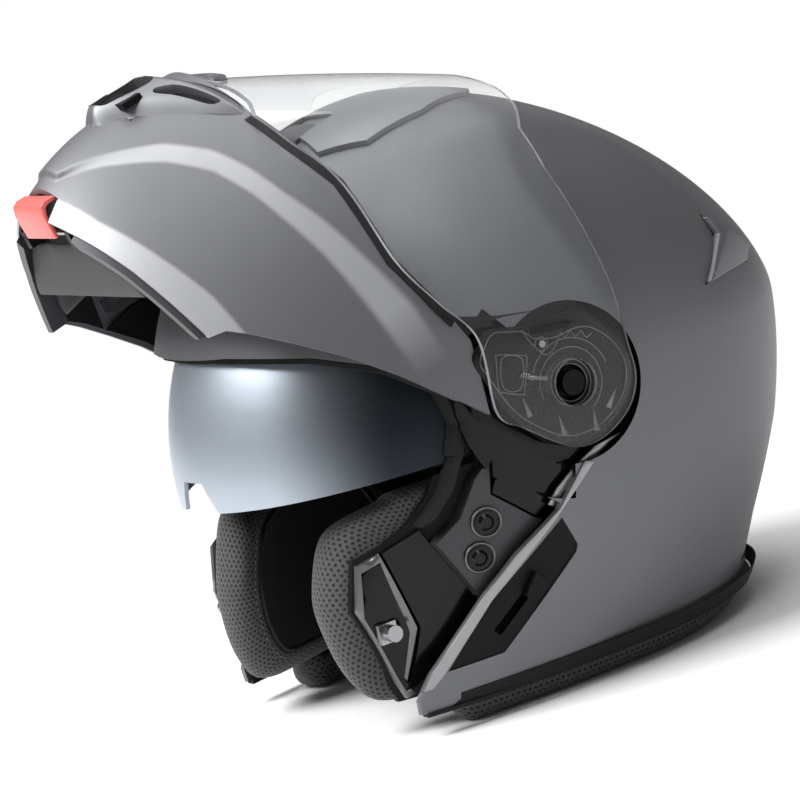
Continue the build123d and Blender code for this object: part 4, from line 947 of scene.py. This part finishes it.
trimEdge = [(-92, -51), (-101, -54), (-106, -74), (-98, -109), (-95, -117), (-91, -116), (-94.5, -111),
            (-85, -87)]
edgings = {
    # The two rails are painted lighter than the shell as a painted highlight on their chamfer
    "shellRail": {
        "line": [(-3, -35), (-19.5, -52), (-42.5, -65), (-61, -79.2), (-76, -93.5), (-89, -106), (-94, -113),
                 (-90, -113),
                 (-84, -108), (-58, -82), (-24, -57), (1, -37)],
        "outer": -0.9, "inner": 3.0, "paint": "railHighlightPaint", "round": 0.7, "slot": "shell_paint",
    },
    "shellRailHigh": {
        "line": [(19.7, -29.5), (13, -31.4), (1.1, -37.4), (-13.9, -45.6), (-20.5, -50.6), (-22.5, -49.2),
                 (-17, -43.4),
                 (-6.1, -36.4), (6, -31)],
        "outer": 3.0, "inner": 4.2, "paint": "railHighlightPaint", "round": 0.4, "slot": "shell_paint",
    },
    "pocketSurround": {
        "line": [(2, 33.5), (-23, 37.5), (-46, 43.8), (-58, 36), (-54, 14), (-50.5, 9), (-49.5, 17),
                 (-42, 31),
                 (-31, 36.6), (-20, 36.4)],
        "outer": -0.35, "inner": 0.6, "paint": "glossBlack", "round": 0.1, "slot": "black_plastic",
    },
}
for name, e in edgings.items():
    edging = domePlate(name, e["line"], e["outer"], e["inner"], e["paint"], e["round"])
    dressPair(edging, name + "Right", "shell")
print("rails made")

# Rear vents: a raised arrowhead with an open front edge over a dark gap, whose black sheet is painted shade
arrow = {
    "edge": [(105.6, 43.5, 3.2), (107.5, 34.6, 3.6), (87.6, 18.2, 3.2), (123.5, 17.6, 1.4),
             (134.0, 23.2, 3.4)],
    "crest": (114.0, 35.0, 5.6), "foot": -2.5, "gap": 0.45, "spread": 1.6, "out": 0.9, "back": 0.4,
}


def overShell(y, z, lift):
    return (float(domeX(y, z, 0)) + lift * arrow["out"], y + lift * arrow["back"], z)


rimPoints = [overShell(*p) for p in arrow["edge"]]
feet = [overShell(y, z, arrow["foot"]) for y, z, lift in arrow["edge"]]
count = len(rimPoints)
bottom = tuple(range(2 * count - 1, count - 1, -1))
walls = [(i + count, (i + 1) % count + count, (i + 1) % count, i) for i in range(count)]
faces = [(i, (i + 1) % count, 2 * count) for i in range(count)] + [bottom] + walls
ventLeft = newPiece("rearVentLeft", toPlace(np.array(rimPoints + feet + [overShell(*arrow["crest"])])), faces)
rounded(ventLeft, 0.9, 3, 12)
tidy(ventLeft, 60)
paint(ventLeft, "shellPaint")
wide = inward([(y, z) for y, z, lift in arrow["edge"]], -arrow["spread"])
levels = [overShell(y, z, lift) for lift in (arrow["gap"], arrow["foot"]) for y, z in wide]
shadowGap = newPiece("ventGapShade", toPlace(np.array(levels)), [tuple(range(count)), bottom] + walls)
# A black sheet under the fin's open edge: painted shade in the gap
paint(shadowGap, "blackSatin")
ventLeft = joined("rearVentLeft", [ventLeft, shadowGap])
dressPair(ventLeft, "rearVentRight", "shell",
          (["rear_vent_left"], ["rear_vent_right"]))

# Cheek trims: a bright frame round a black plate
trim = {"outer": 13.3, "inner": 15.9, "width": 3.4, "lap": 2.8, "plateOuter": 14.4, "plateInner": 15.8}
window = sidePrism(inward(trimEdge, trim["width"]), 40, 160)
frameRing = domePlate("cheekTrim", trimEdge, trim["outer"], trim["inner"], "edgeGrey", 0.6, [window])
panelLine = inward(trimEdge, trim["lap"])
panel = domePlate("cheekPlate", panelLine, trim["plateOuter"], trim["plateInner"], "glossBlack", 0.2)
trimLeft = joined("cheekTrimLeft", [frameRing, panel])
dressPair(trimLeft, "cheekTrimFlipped", "shell",
          (["cheek_trim_left"], ["cheek_trim_right"]))
print("rear vents and cheek trims made")

# Pivot mechanism under the clear shield, drawn as it stands with the chin bar open
baseEdge = smoothLine([
    (-43, 23), (-38, 30), (-33.5, 34), (-24, 32.5), (-13.7, 29.6), (-12, 26), (2, 24), (14, 24), (24, 17),
    (30, 7), (31, -4), (26, -14), (17, -21.5), (6, -25.5), (-8, -25), (-19, -19), (-29, -10), (-34.5, -2),
    (-39, 9),
], 110, True)
gear = {
    "face": 121.2, "back": 119.2, "line": 0.24, "lift": 0.15, "bore": 8.4, "ribHalf": 4.6, "ribWide": 1.7,
    "ribTall": 1.6,
    "boss": (-9.5, 20.5), "bossRadius": 1.7, "bossTall": 1.4,
}
coilShape = {"turns": 7, "radius": 1.0, "proud": 1.3, "start": (-20, 8.4), "run": (8.5, -3.1), "wire": 0.32,
             "points": 170}


def circleAt(y, z, radius, start=0, stop=360):
    turn = np.radians(np.linspace(start, stop, 48, endpoint=stop - start < 360))
    return np.column_stack([y + radius * np.cos(turn), z + radius * np.sin(turn)])


plate = sidePrism(baseEdge, gear["back"], gear["face"])
combine(plate, [barAlongX(gear["bore"], 110, 130)])
rounded(plate, 0.4)
tidy(plate, 40)
paint(plate, "glossBlack")
parts = [plate]


def addPart(piece, colour):
    paint(piece, colour)
    parts.append(piece)


closedLines = [
    inward(baseEdge[::4], 3.0), circleAt(0, 0, 10.2), circleAt(0, 0, 8.2),
    [(-31.5, 22.4), (-19.5, 18.4), (-18.1, 16.2), (-23.2, 3.4), (-24.6, 2.3), (-33.6, 6), (-35, 8),
     (-32.6, 21)],
    [(-29.5, 20.2), (-20.6, 17.0), (-24.6, 5.0), (-32.6, 8)], circleAt(-9.5, 20.5, 3.0),
]
openLines = [
    circleAt(0, 0, 15.5, -60, 190), circleAt(0, 0, 19.5, 10, 150),
    [(-17, 29), (-15, 24), (-12, 19), (-8, 15), (-3, 17.5), (1, 22)],
    [(1, 22.5), (3, 20), (6, 21.5), (8, 18.5), (11, 20), (13, 16.5), (16, 17.5)],
]
for points, closed in [(line, True) for line in closedLines] + [(line, False) for line in openLines]:
    path = smoothLine(points, 90, closed)
    spots = np.column_stack([np.full(len(path), gear["face"] + gear["lift"]), path])
    addPart(tube("line", toPlace(spots), gear["line"] / 1000, closed), "edgeGrey")
for y, z, lean in ((-24, -3.5, 80), (-9.5, -16.5, 86), (7, -19.5, 95), (18, -13, 130)):
    a = radians(lean)
    along = np.array((cos(a), -sin(a))) * gear["ribHalf"]
    wide = np.array((sin(a), cos(a))) * gear["ribWide"]
    foot = np.array((y, z)) + along
    corners = [(gear["face"], *spot) for spot in (foot - along * 2, foot - wide, foot + wide)]
    corners.append((gear["face"] + gear["ribTall"], *foot))
    addPart(newPiece("rib", toPlace(np.array(corners)), [(0, 1, 3), (0, 3, 2), (1, 2, 3), (0, 2, 1)]),
            "edgeGrey")
addPart(barAlongX(gear["bossRadius"], gear["face"], gear["face"] + gear["bossTall"], *gear["boss"], sides=6),
        "steel")
wound = np.linspace(0, coilShape["turns"] * 2 * pi, coilShape["points"])
share = wound / wound[-1]
coil = np.column_stack([
    gear["face"] + coilShape["proud"] + coilShape["radius"] * np.sin(wound),
    coilShape["start"][0] + coilShape["run"][0] * share,
    coilShape["start"][1] + coilShape["run"][1] * share + coilShape["radius"] * np.cos(wound),
])
addPart(tube("spring", toPlace(coil), coilShape["wire"] / 1000), "steel")
baseLeft = joined("pivotBaseLeft", parts)
tidy(baseLeft, 35, outward=False)
dressPair(baseLeft, "pivotBaseRight", "chin_bar",
          (["shield_base_left"], ["shield_base_right"]))
print("pivot mechanism made")

# Release lever under the chin
leverShape = {
    "line": [(-173.5, -127), (-173.7, -132.3), (-172.3, -135.2), (-168, -136.4), (-156.5, -136.2),
             (-156.5, -134.2),
             (-167.6, -134.3), (-170.6, -133.2), (-171.4, -131.4), (-171.5, -127)],
    "half": 15.6, "round": 0.7,
}
lever = sidePrism(leverShape["line"], -leverShape["half"], leverShape["half"], True)
rounded(lever, leverShape["round"], 3, 30)
tidy(lever, 50)
dress(lever, "release_lever", "leverRed", ["release_lever"])

# Mouth vent frame: raised from the chin bar, with one middle opening and two side slots
ventHalf = [(0, -91), (6.9, -90), (18.5, -77.4), (33.4, -64.4), (47.9, -52.6), (53.5, -45), (50, -42),
            (38, -42.5),
            (22, -46), (9, -50.5), (0, -51.5)]
midHalf = [(0, -85), (7, -82), (11.5, -70), (12.5, -60), (9, -56.5), (0, -55.8)]
slotHole = [(18.5, -62.3), (21, -58), (25, -54.6), (34, -51), (43.5, -48.3), (44, -49.6), (41.2, -53.0),
            (34, -57),
            (27.8, -60.4), (21, -64.5)]
vent = {
    "half": 57, "low": -95, "high": -38, "columns": 130, "rows": 80, "edge": 7.5, "rise": 7.6,
    "sideDrop": 0.45,
    "sideAt": 54, "proud": 0.5, "sunk": 0.4, "shadeTop": 2.0, "shadeLow": 1.2, "shadeInset": 2.5,
    "front": -240, "rear": -120,
}


def chinY(x, z):
    c = chinShape
    rise = (z - c["low"]) / (c["top"] - c["low"])
    across = c["lowHalf"] + (c["half"] - c["lowHalf"]) * rise
    low = c["lowSetback"] * (np.clip(c["bulge"] - z, 0, None) / (c["bulge"] - c["low"])) ** c["setbackPower"]
    high = c["topSetback"] * (np.clip(z - c["bulge"], 0, None) / (c["top"] - c["bulge"])) ** 2
    power = c["lowPower"] + (c["topPower"] - c["lowPower"]) * np.clip(rise, 0, None) ** 2
    return -(c["reach"] - low - high) * (1 - np.abs(x / across) ** power) ** (1 / power)


def frontPrism(points):
    p = np.array(points, float)
    ends = [np.column_stack([p[:, 0], np.full(len(p), y), p[:, 1]]) for y in (vent["front"], vent["rear"])]
    return newPiece("tool", toPlace(np.vstack(ends), True), prismFaces(len(p)))


def edgeDistance(x, z, edge):
    a, b = edge, np.roll(edge, -1, 0)
    p = np.stack([x, z], -1)[..., None, :]
    ab = b - a
    t = np.clip(((p - a) * ab).sum(-1) / (ab ** 2).sum(-1), 0, 1)
    return np.linalg.norm(p - (a + t[..., None] * ab), axis=-1).min(-1)


def bothHalves(points, count):
    return smoothLine(points + [(-x, z) for x, z in points[-2:0:-1]], count, True)


ventEdge = bothHalves(ventHalf, 120)
gx, gz = np.meshgrid(np.linspace(-vent["half"], vent["half"], vent["columns"]),
                     np.linspace(vent["low"], vent["high"], vent["rows"]))
near = np.clip(edgeDistance(gx, gz, ventEdge) / vent["edge"], 0, 1)
sideDrop = 1 - vent["sideDrop"] * np.clip(np.abs(gx) / vent["sideAt"], 0, 1)
hump = vent["rise"] * np.sin(near * pi / 2) * sideDrop + vent["proud"]


def ventSheet(name, outer, inner):
    return closedSheet(name, *[np.stack([gx, chinY(gx, gz) - lift, gz], -1) for lift in (outer, inner)])


ventFrame = ventSheet("ventFrame", hump, -vent["sunk"])
combine(ventFrame, [frontPrism(ventEdge)], "INTERSECT")
slotTwin = [(-x, z) for x, z in slotHole[::-1]]
combine(ventFrame,
        [frontPrism(line) for line in (bothHalves(midHalf, 60), smoothLine(slotHole, 60, True),
                                       smoothLine(slotTwin, 60, True))])
rounded(ventFrame, 0.5, 2, 45)
tidy(ventFrame, 40)
paint(ventFrame, "ventPaint")
ventShade = ventSheet("ventShade", vent["shadeTop"], vent["shadeLow"])
combine(ventShade, [frontPrism(inward(ventEdge, vent["shadeInset"]))], "INTERSECT")
paint(ventShade, "blackSatin")
ventFrame = joined("ventFrame", [ventFrame, ventShade])
dress(ventFrame, "chin_bar", None, ["mouth_vent_frame"])
print("lever and mouth vent made")

# Stitches: one short bead of thread instanced along a seam
thread = {"pitch": 0.0032, "length": 0.0021, "start": 0.00042, "wide": 0.0008}
stitchTree, seam, seamOut = newGroup("stitchRow", [
    ("Geometry", "Geometry", None), ("Pitch", "Float", thread["pitch"]),
    ("Length", "Float", thread["length"]),
    ("Thread", "Float", thread["start"]), ("Material", "Material", None),
], [("Geometry", "Geometry")], "GeometryNodeTree")
toCurve = addNode(stitchTree, "GeometryNodeMeshToCurve", {"Mesh": seam["Geometry"]})
spaced = addNode(stitchTree, "GeometryNodeCurveToPoints",
                 {"Curve": toCurve.outputs["Curve"], "Length": seam["Pitch"]}, mode="LENGTH")
bead = addNode(stitchTree, "GeometryNodeMeshUVSphere", {"Segments": 8, "Rings": 6, "Radius": 0.5})
stretch = addNode(stitchTree, "ShaderNodeCombineXYZ",
                  {"X": seam["Thread"], "Y": seam["Thread"], "Z": seam["Length"]})
place = addNode(stitchTree, "GeometryNodeInstanceOnPoints", {
    "Points": spaced.outputs["Points"], "Rotation": spaced.outputs["Rotation"],
    "Instance": bead.outputs["Mesh"],
    "Scale": stretch.outputs[0],
})
real = addNode(stitchTree, "GeometryNodeRealizeInstances", {"Geometry": place.outputs["Instances"]})
coloured = addNode(stitchTree, "GeometryNodeSetMaterial",
                   {"Geometry": real.outputs["Geometry"], "Material": seam["Material"]})
setInputs(stitchTree, seamOut, {0: coloured.outputs["Geometry"]})
stitchInputs = [item for item in stitchTree.interface.items_tree if item.in_out == "INPUT"]
stitchSockets = {item.name: item.identifier for item in stitchInputs}


def stitchRow(name, line):
    mesh = bpy.data.meshes.new(name)
    mesh.from_pydata([tuple(v) for v in line], [(i, i + 1) for i in range(len(line) - 1)], [])
    obj = bpy.data.objects.new(name, mesh)
    scene.collection.objects.link(obj)
    row = obj.modifiers.new("stitches", "NODES")
    row.node_group = stitchTree
    row[stitchSockets["Pitch"]] = thread["pitch"]
    row[stitchSockets["Thread"]] = thread["wide"]
    row[stitchSockets["Material"]] = finish["thread"]
    tidy(baked(obj))
    return obj


def piping(line, radius, closed=False):
    pipe = tube("piping", toPlace(line), radius, closed)
    paint(pipe, "leatherette")
    return pipe


def gridPiece(name, grid, along, across, opened=False):
    rows, cols = grid.shape[:2]
    faces = gridFaces(rows, cols, True)
    faces += [tuple(range(cols)), tuple((rows - 1) * cols + c for c in range(cols))]
    mesh = bpy.data.meshes.new(name)
    mesh.from_pydata([tuple(v) for v in toPlace(grid, opened)], [], faces)
    obj = bpy.data.objects.new(name, mesh)
    scene.collection.objects.link(obj)
    layer = mesh.uv_layers.new(name="weave")
    for poly in mesh.polygons:
        atSeam = poly.index < (rows - 1) * cols and poly.index % cols == cols - 1
        for loop in poly.loop_indices:
            r, c = divmod(mesh.loops[loop].vertex_index, cols)
            layer.data[loop].uv = (along[cols] if atSeam and c == 0 else along[c], across[r])
    tidy(obj)
    return obj


def rowRun(grid):
    return np.concatenate([[0], np.cumsum(np.linalg.norm(np.diff(grid, axis=0), axis=2).mean(1))])


def padDress(pad, body, node, colour=None):
    dress(pad, body, colour, [node])


# Cheek pads from a side outline: a back face near the shell and a crowned face towards the head
padEdge = [
    (-72, -28), (-79, -31), (-94, -36), (-102, -43), (-109, -59), (-113, -75), (-112, -96), (-107, -111),
    (-99, -118), (-80, -119), (-40, -117), (0, -115), (3, -88), (0, -60), (-14, -32), (-40, -27),
]
cheek = {
    "centre": (-56, -76), "back": 20.5, "edge": 27.0, "crown": 47.0, "seam": 0.24, "rings": 26, "around": 220,
    "spacing": 1.6, "inmost": 0.995, "frontRound": 0.34, "backRound": 0.10, "piping": 0.0011,
}
rim = smoothLine(padEdge, cheek["around"], True)
middle = np.array(cheek["centre"], float)
rings = cheek["rings"]
fractions = np.concatenate([
    np.linspace(1, 0, rings)[:-1] ** cheek["spacing"], [0], np.linspace(0, 1, rings)[1:] ** cheek["spacing"],
])
rows = []
for k, f in enumerate(fractions):
    spots = rim + (middle - rim) * min(f, cheek["inmost"])
    headSide = k >= rings - 1
    rounding = cheek["frontRound"] if headSide else cheek["backRound"]
    swell = sqrt(max(0.0, 1 - (1 - min(f / rounding, 1)) ** 2))
    inset = cheek["edge"] + ((cheek["crown"] if headSide else cheek["back"]) - cheek["edge"]) * swell
    rows.append(np.column_stack([domeX(spots[:, 0], spots[:, 1], inset), spots]))
grid = np.stack(rows)
cheekLeft = gridPiece("cheekPadLeft", grid, runAlong(rim, True) / 1000, rowRun(grid) / 1000)
paint(cheekLeft, "spacerMesh", "leatherette")
seamRow = next(i for i, f in enumerate(fractions) if i > len(fractions) // 2 and f > cheek["seam"])
rowOf = np.repeat(np.arange(grid.shape[0]), grid.shape[1])
padSpots = nearestIn(toPlace(grid))
for poly in cheekLeft.data.polygons:
    poly.material_index = 1 if rowOf[padSpots.find(poly.center)[1]] >= seamRow else 0
stitches = stitchRow("cheekStitches", toPlace(grid[seamRow - 2]))
cheekLeft = joined("cheekPadLeft", [cheekLeft, piping(grid[seamRow], cheek["piping"], True), stitches])
cheekRight = mirrored(cheekLeft, "cheekPadRight")
for pad, node in ((cheekLeft, "cheek_pad_left"), (cheekRight, "cheek_pad_right")):
    padDress(pad, "shell", node)

# Neck roll: one padded tube that follows the rim behind the ears
neck = {
    "middle": 18.2, "half": 11.4, "height": -125.9, "tall": 9.6, "power": 3.0, "plan": 2.14, "front": -76.0,
    "columns": 240, "around": 48, "endRound": 9.0, "endLeast": 0.02, "pinch": 0.05, "pinchEvery": 58.0,
    "pinchPower": 12, "piping": 0.0010, "pipes": (4, 20), "stitches": 2, "ends": 4, "ringAt": 60,
}


def circleTurns(count):
    return np.arange(count) * 2 * pi / count


angles = np.linspace(-pi / 2, 3 * pi / 2, 1441)
rimReach = [helmet[key] - neck["middle"] for key in ("rimHalf", "rimRear", "rimFront")]
ahead = np.where(np.sin(angles) > 0, rimReach[1], rimReach[2])
rimLine = np.column_stack([
    rimReach[0] * wave(np.cos(angles), neck["plan"]),
    helmet["centre"] + ahead * wave(np.sin(angles), neck["plan"]),
])
rimLine = smoothLine(rimLine[rimLine[:, 1] > neck["front"]][::6], neck["columns"])
ahead = np.gradient(rimLine, axis=0)
outwardDir = np.column_stack([ahead[:, 1], -ahead[:, 0]])
outwardDir /= np.linalg.norm(outwardDir, axis=1, keepdims=True)
gone = runAlong(rimLine)
turn = circleTurns(neck["around"])
rows = []
for spot, out, run in zip(rimLine, outwardDir, gone):
    edge = min(run, gone[-1] - run)
    size = sqrt(max(neck["endLeast"], 1 - (1 - min(edge / neck["endRound"], 1)) ** 2))
    pinch = 1 - neck["pinch"] * abs(sin(run / neck["pinchEvery"] * pi)) ** neck["pinchPower"]
    u = neck["half"] * wave(np.cos(turn), neck["power"]) * size
    w = neck["tall"] * wave(np.sin(turn), neck["power"]) * size * pinch
    rows.append(np.column_stack([spot[0] + out[0] * u, spot[1] + out[1] * u, neck["height"] + w]))
grid = np.stack(rows)
neckRoll = gridPiece("neckRoll", grid, runAlong(grid[neck["ringAt"]], True) / 1000, gone / 1000)
paint(neckRoll, "spacerMesh")
inner = grid[neck["ends"]:-neck["ends"]]
pipes = [piping(inner[:, at], neck["piping"]) for at in neck["pipes"]]
neckStitches = stitchRow("neckStitches", toPlace(inner[:, neck["stitches"]]))
neckRoll = joined("neckRoll", [neckRoll, *pipes, neckStitches])
padDress(neckRoll, "shell", "neck_roll")

# Crown pad, quilted in channels
crown = {"low": 0.02, "high": 0.985, "rows": 60, "around": 200, "outer": 34.2, "inner": 38.6, "channel": 30,
         "power": 0.35,
         "deep": 1.5, "ringAt": 60}
crownShares = np.sin(np.linspace(crown["low"], pi / 2 * crown["high"], crown["rows"]))
outer, inner = (shellRows(crown[key], crownShares, crown["around"]) for key in ("outer", "inner"))
channel = np.abs(np.sin(inner[..., 0] / crown["channel"] * pi)) ** crown["power"]
towards = inner / np.linalg.norm(inner, axis=2, keepdims=True)
grid = np.vstack([outer[::-1], inner - towards * (channel * crown["deep"])[..., None]])
crownPad = gridPiece("crownPad", grid, runAlong(grid[crown["ringAt"]], True) / 1000, rowRun(grid) / 1000)
combine(crownPad, [sidePrism(openingEdge, -cut["through"], cut["through"])])
tidy(crownPad, 50)
padDress(crownPad, "shell", "comfort_liner", "spacerMesh")

# Chin bar's inner pad: a rounded band round the front
chinPad = {
    "low": -119.0, "high": -56.0, "start": 4.7, "thick": 10.8, "columns": 150, "around": 44, "from": 1.235,
    "to": 1.765,
    "endRows": 9, "endLeast": 0.02, "tallPower": 5, "thickPower": 3.2, "tallShare": 0.9, "runAt": 20,
    "ringAt": 60,
}
padMiddle, padHalf = (chinPad["low"] + chinPad["high"]) / 2, (chinPad["high"] - chinPad["low"]) / 2
turn = circleTurns(chinPad["around"])
rows = []
for i, a in enumerate(np.linspace(pi * chinPad["from"], pi * chinPad["to"], chinPad["columns"])):
    edge = min(i, chinPad["columns"] - 1 - i) / chinPad["endRows"]
    size = sqrt(max(chinPad["endLeast"], 1 - (1 - min(edge, 1)) ** 2))
    tall = padHalf * (chinPad["tallShare"] + (1 - chinPad["tallShare"]) * size)
    section = []
    for t in turn:
        depth = chinPad["start"] + chinPad["thick"] / 2 * (1 - wave(np.cos(t), chinPad["thickPower"]) * size)
        z = padMiddle + tall * wave(np.sin(t), chinPad["tallPower"])
        section.append(chinRing(depth, float(z), np.array([a]))[0])
    rows.append(section)
grid = np.array(rows)
padRun = runAlong(grid[:, chinPad["runAt"]]) / 1000
chinLiner = gridPiece("chinLiner", grid, runAlong(grid[chinPad["ringAt"]], True) / 1000, padRun, True)
padDress(chinLiner, "chin_bar", "chin_bar_liner", "darkLining")

# Breath guard's mesh under the chin, a thin crowned panel
guard = {
    "front": 149.6, "rear": 122.4, "middle": -128.5, "thick": 2.6, "inset": 9.6, "rows": 90, "around": 24,
    "endFrom": 0.94, "endWide": 0.0036, "endLeast": 0.03, "depthPower": 4, "thickPower": 2.6,
    "halfRun": 0.055, "ringAt": 45,
}
stations = np.linspace(-1, 1, guard["rows"])
reach = chinRing(guard["inset"], guard["middle"], np.linspace(pi, 1.5 * pi, 200))[::-1]
turn = circleTurns(guard["around"])
depths = (guard["rear"] - guard["front"]) / 2 * wave(np.cos(turn), guard["depthPower"])
thicks = guard["thick"] / 2 * wave(np.sin(turn), guard["thickPower"])
rows = []
for u in stations:
    size = sqrt(max(guard["endLeast"], 1 - max(0.0, abs(u) - guard["endFrom"]) ** 2 / guard["endWide"]))
    y = -(guard["front"] + guard["rear"]) / 2 + depths * size
    rows.append(np.column_stack([np.interp(y, reach[:, 1], -reach[:, 0]) * u, y,
                                 guard["middle"] + thicks * size]))
grid = np.array(rows)
ringRun = runAlong(grid[guard["ringAt"]], True) / 1000
guardPanel = gridPiece("guardPanel", grid, ringRun, (stations + 1) * guard["halfRun"], True)
padDress(guardPanel, "chin_bar", "chin_mesh_panel", "darkLining")

# Chin strap's two tapes
strap = {
    "wide": 22.0, "thick": 2.0, "y": 4.0, "line": [(15.6, -110), (36, -105), (64, -90), (107.0, -79)],
    "columns": 80,
    "around": 28, "widePower": 9, "thickPower": 2.6, "ringAt": 40,
}
line = smoothLine(strap["line"], strap["columns"])
ahead = np.gradient(line, axis=0)
up = np.column_stack([-ahead[:, 1], ahead[:, 0]])
up /= np.linalg.norm(up, axis=1, keepdims=True)
turn = circleTurns(strap["around"])
wide = strap["wide"] / 2 * wave(np.cos(turn), strap["widePower"])
tall = strap["thick"] / 2 * wave(np.sin(turn), strap["thickPower"])
for side, name, node in ((1, "strapLeft", "strap_left"), (-1, "strapRight", "strap_right")):
    rows = [np.column_stack([(p[0] + q[0] * tall) * side, strap["y"] + wide, p[1] + q[1] * tall]) for p,
            q in zip(line, up)]
    grid = np.stack(rows)
    tape = gridPiece(name, grid, runAlong(grid[strap["ringAt"]], True) / 1000, runAlong(line) / 1000)
    dress(tape, "shell", "webbing", [node])
print("padding and straps made")

# Bright rims round the studs
studs = {"spots": [(-50.0, -48.5), (-56.0, -63.0)], "radius": 6.4, "rim": 0.5, "inset": 5.8}
for side, name in ((1, "studRimsLeft"), (-1, "studRimsRight")):
    rims = []
    for y, z in studs["spots"]:
        ring = circleAt(y, z, studs["radius"])
        spots = np.column_stack([domeX(ring[:, 0], ring[:, 1], studs["inset"]) * side, ring])
        rims.append(tube("rim", toPlace(spots), studs["rim"] / 1000, True))
    dress(joined(name, rims), "shell", "edgeGrey")

# Welds the loose triangles of the carried-over nodes for shading only
welding = {"distance": 0.000004, "sharp": 28}
smoother, given, smootherOut = newGroup(
    "weldedShading", [("Geometry", "Geometry", None)], [("Geometry", "Geometry")], "GeometryNodeTree")
angle = addNode(smoother, "GeometryNodeInputMeshEdgeAngle").outputs["Unsigned Angle"]
isSharp = addNode(smoother, "FunctionNodeCompare", {"A": angle, "B": radians(welding["sharp"])},
                  operation="GREATER_THAN")
weld = addNode(smoother, "GeometryNodeMergeByDistance",
               {"Geometry": given[0], "Distance": welding["distance"]})
smoothFaces = addNode(smoother, "GeometryNodeSetShadeSmooth", {"Geometry": weld.outputs["Geometry"]},
                      domain="FACE")
sharpEdges = addNode(smoother, "GeometryNodeSetShadeSmooth", {
    "Geometry": smoothFaces.outputs["Geometry"], "Shade Smooth": False,
    "Selection": isSharp.outputs["Result"],
}, domain="EDGE")
setInputs(smoother, smootherOut, {0: sharpEdges.outputs["Geometry"]})

nodeFinish = {
    "mirrorVisor": ["sun_visor"], "foamBeads": ["eps_liner"], "matteRubber": ["rim_beading"],
    "softRubber": ["eyeport_seal", "shield_gasket"], "ventPaint": ["top_vent_cover"],
    "leverRed": ["buckle_lever"],
    "glossBlack": ["stud_screws", "corner_panel_left", "corner_panel_right", "cheek_cover_left",
                   "cheek_cover_right"],
    "plateGrey": ["stud_plate_left", "stud_plate_right", "top_vent_slider", "chin_trim"],
    "steel": ["latch_pins", "strap_anchors", "buckle_housing", "lever_pin", "latch_hook_left",
              "latch_hook_right", "shield_springs"],
    "blackSatin": ["sun_visor_pins", "side_frame_left", "side_frame_right", "blank_panel_right",
                   "slider_panel_left",
                   "sun_visor_slider", "pivot_bolts", "ladder_strap", "chin_carrier_left",
                   "chin_carrier_right",
                   "mouth_vent_slider"],
}
for colour, names in nodeFinish.items():
    for name in names:
        obj = cadNodes[name]
        paint(obj, colour)
        obj.modifiers.new("weldedShading", "NODES").node_group = smoother
print("carried-over nodes finished")

low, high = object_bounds()
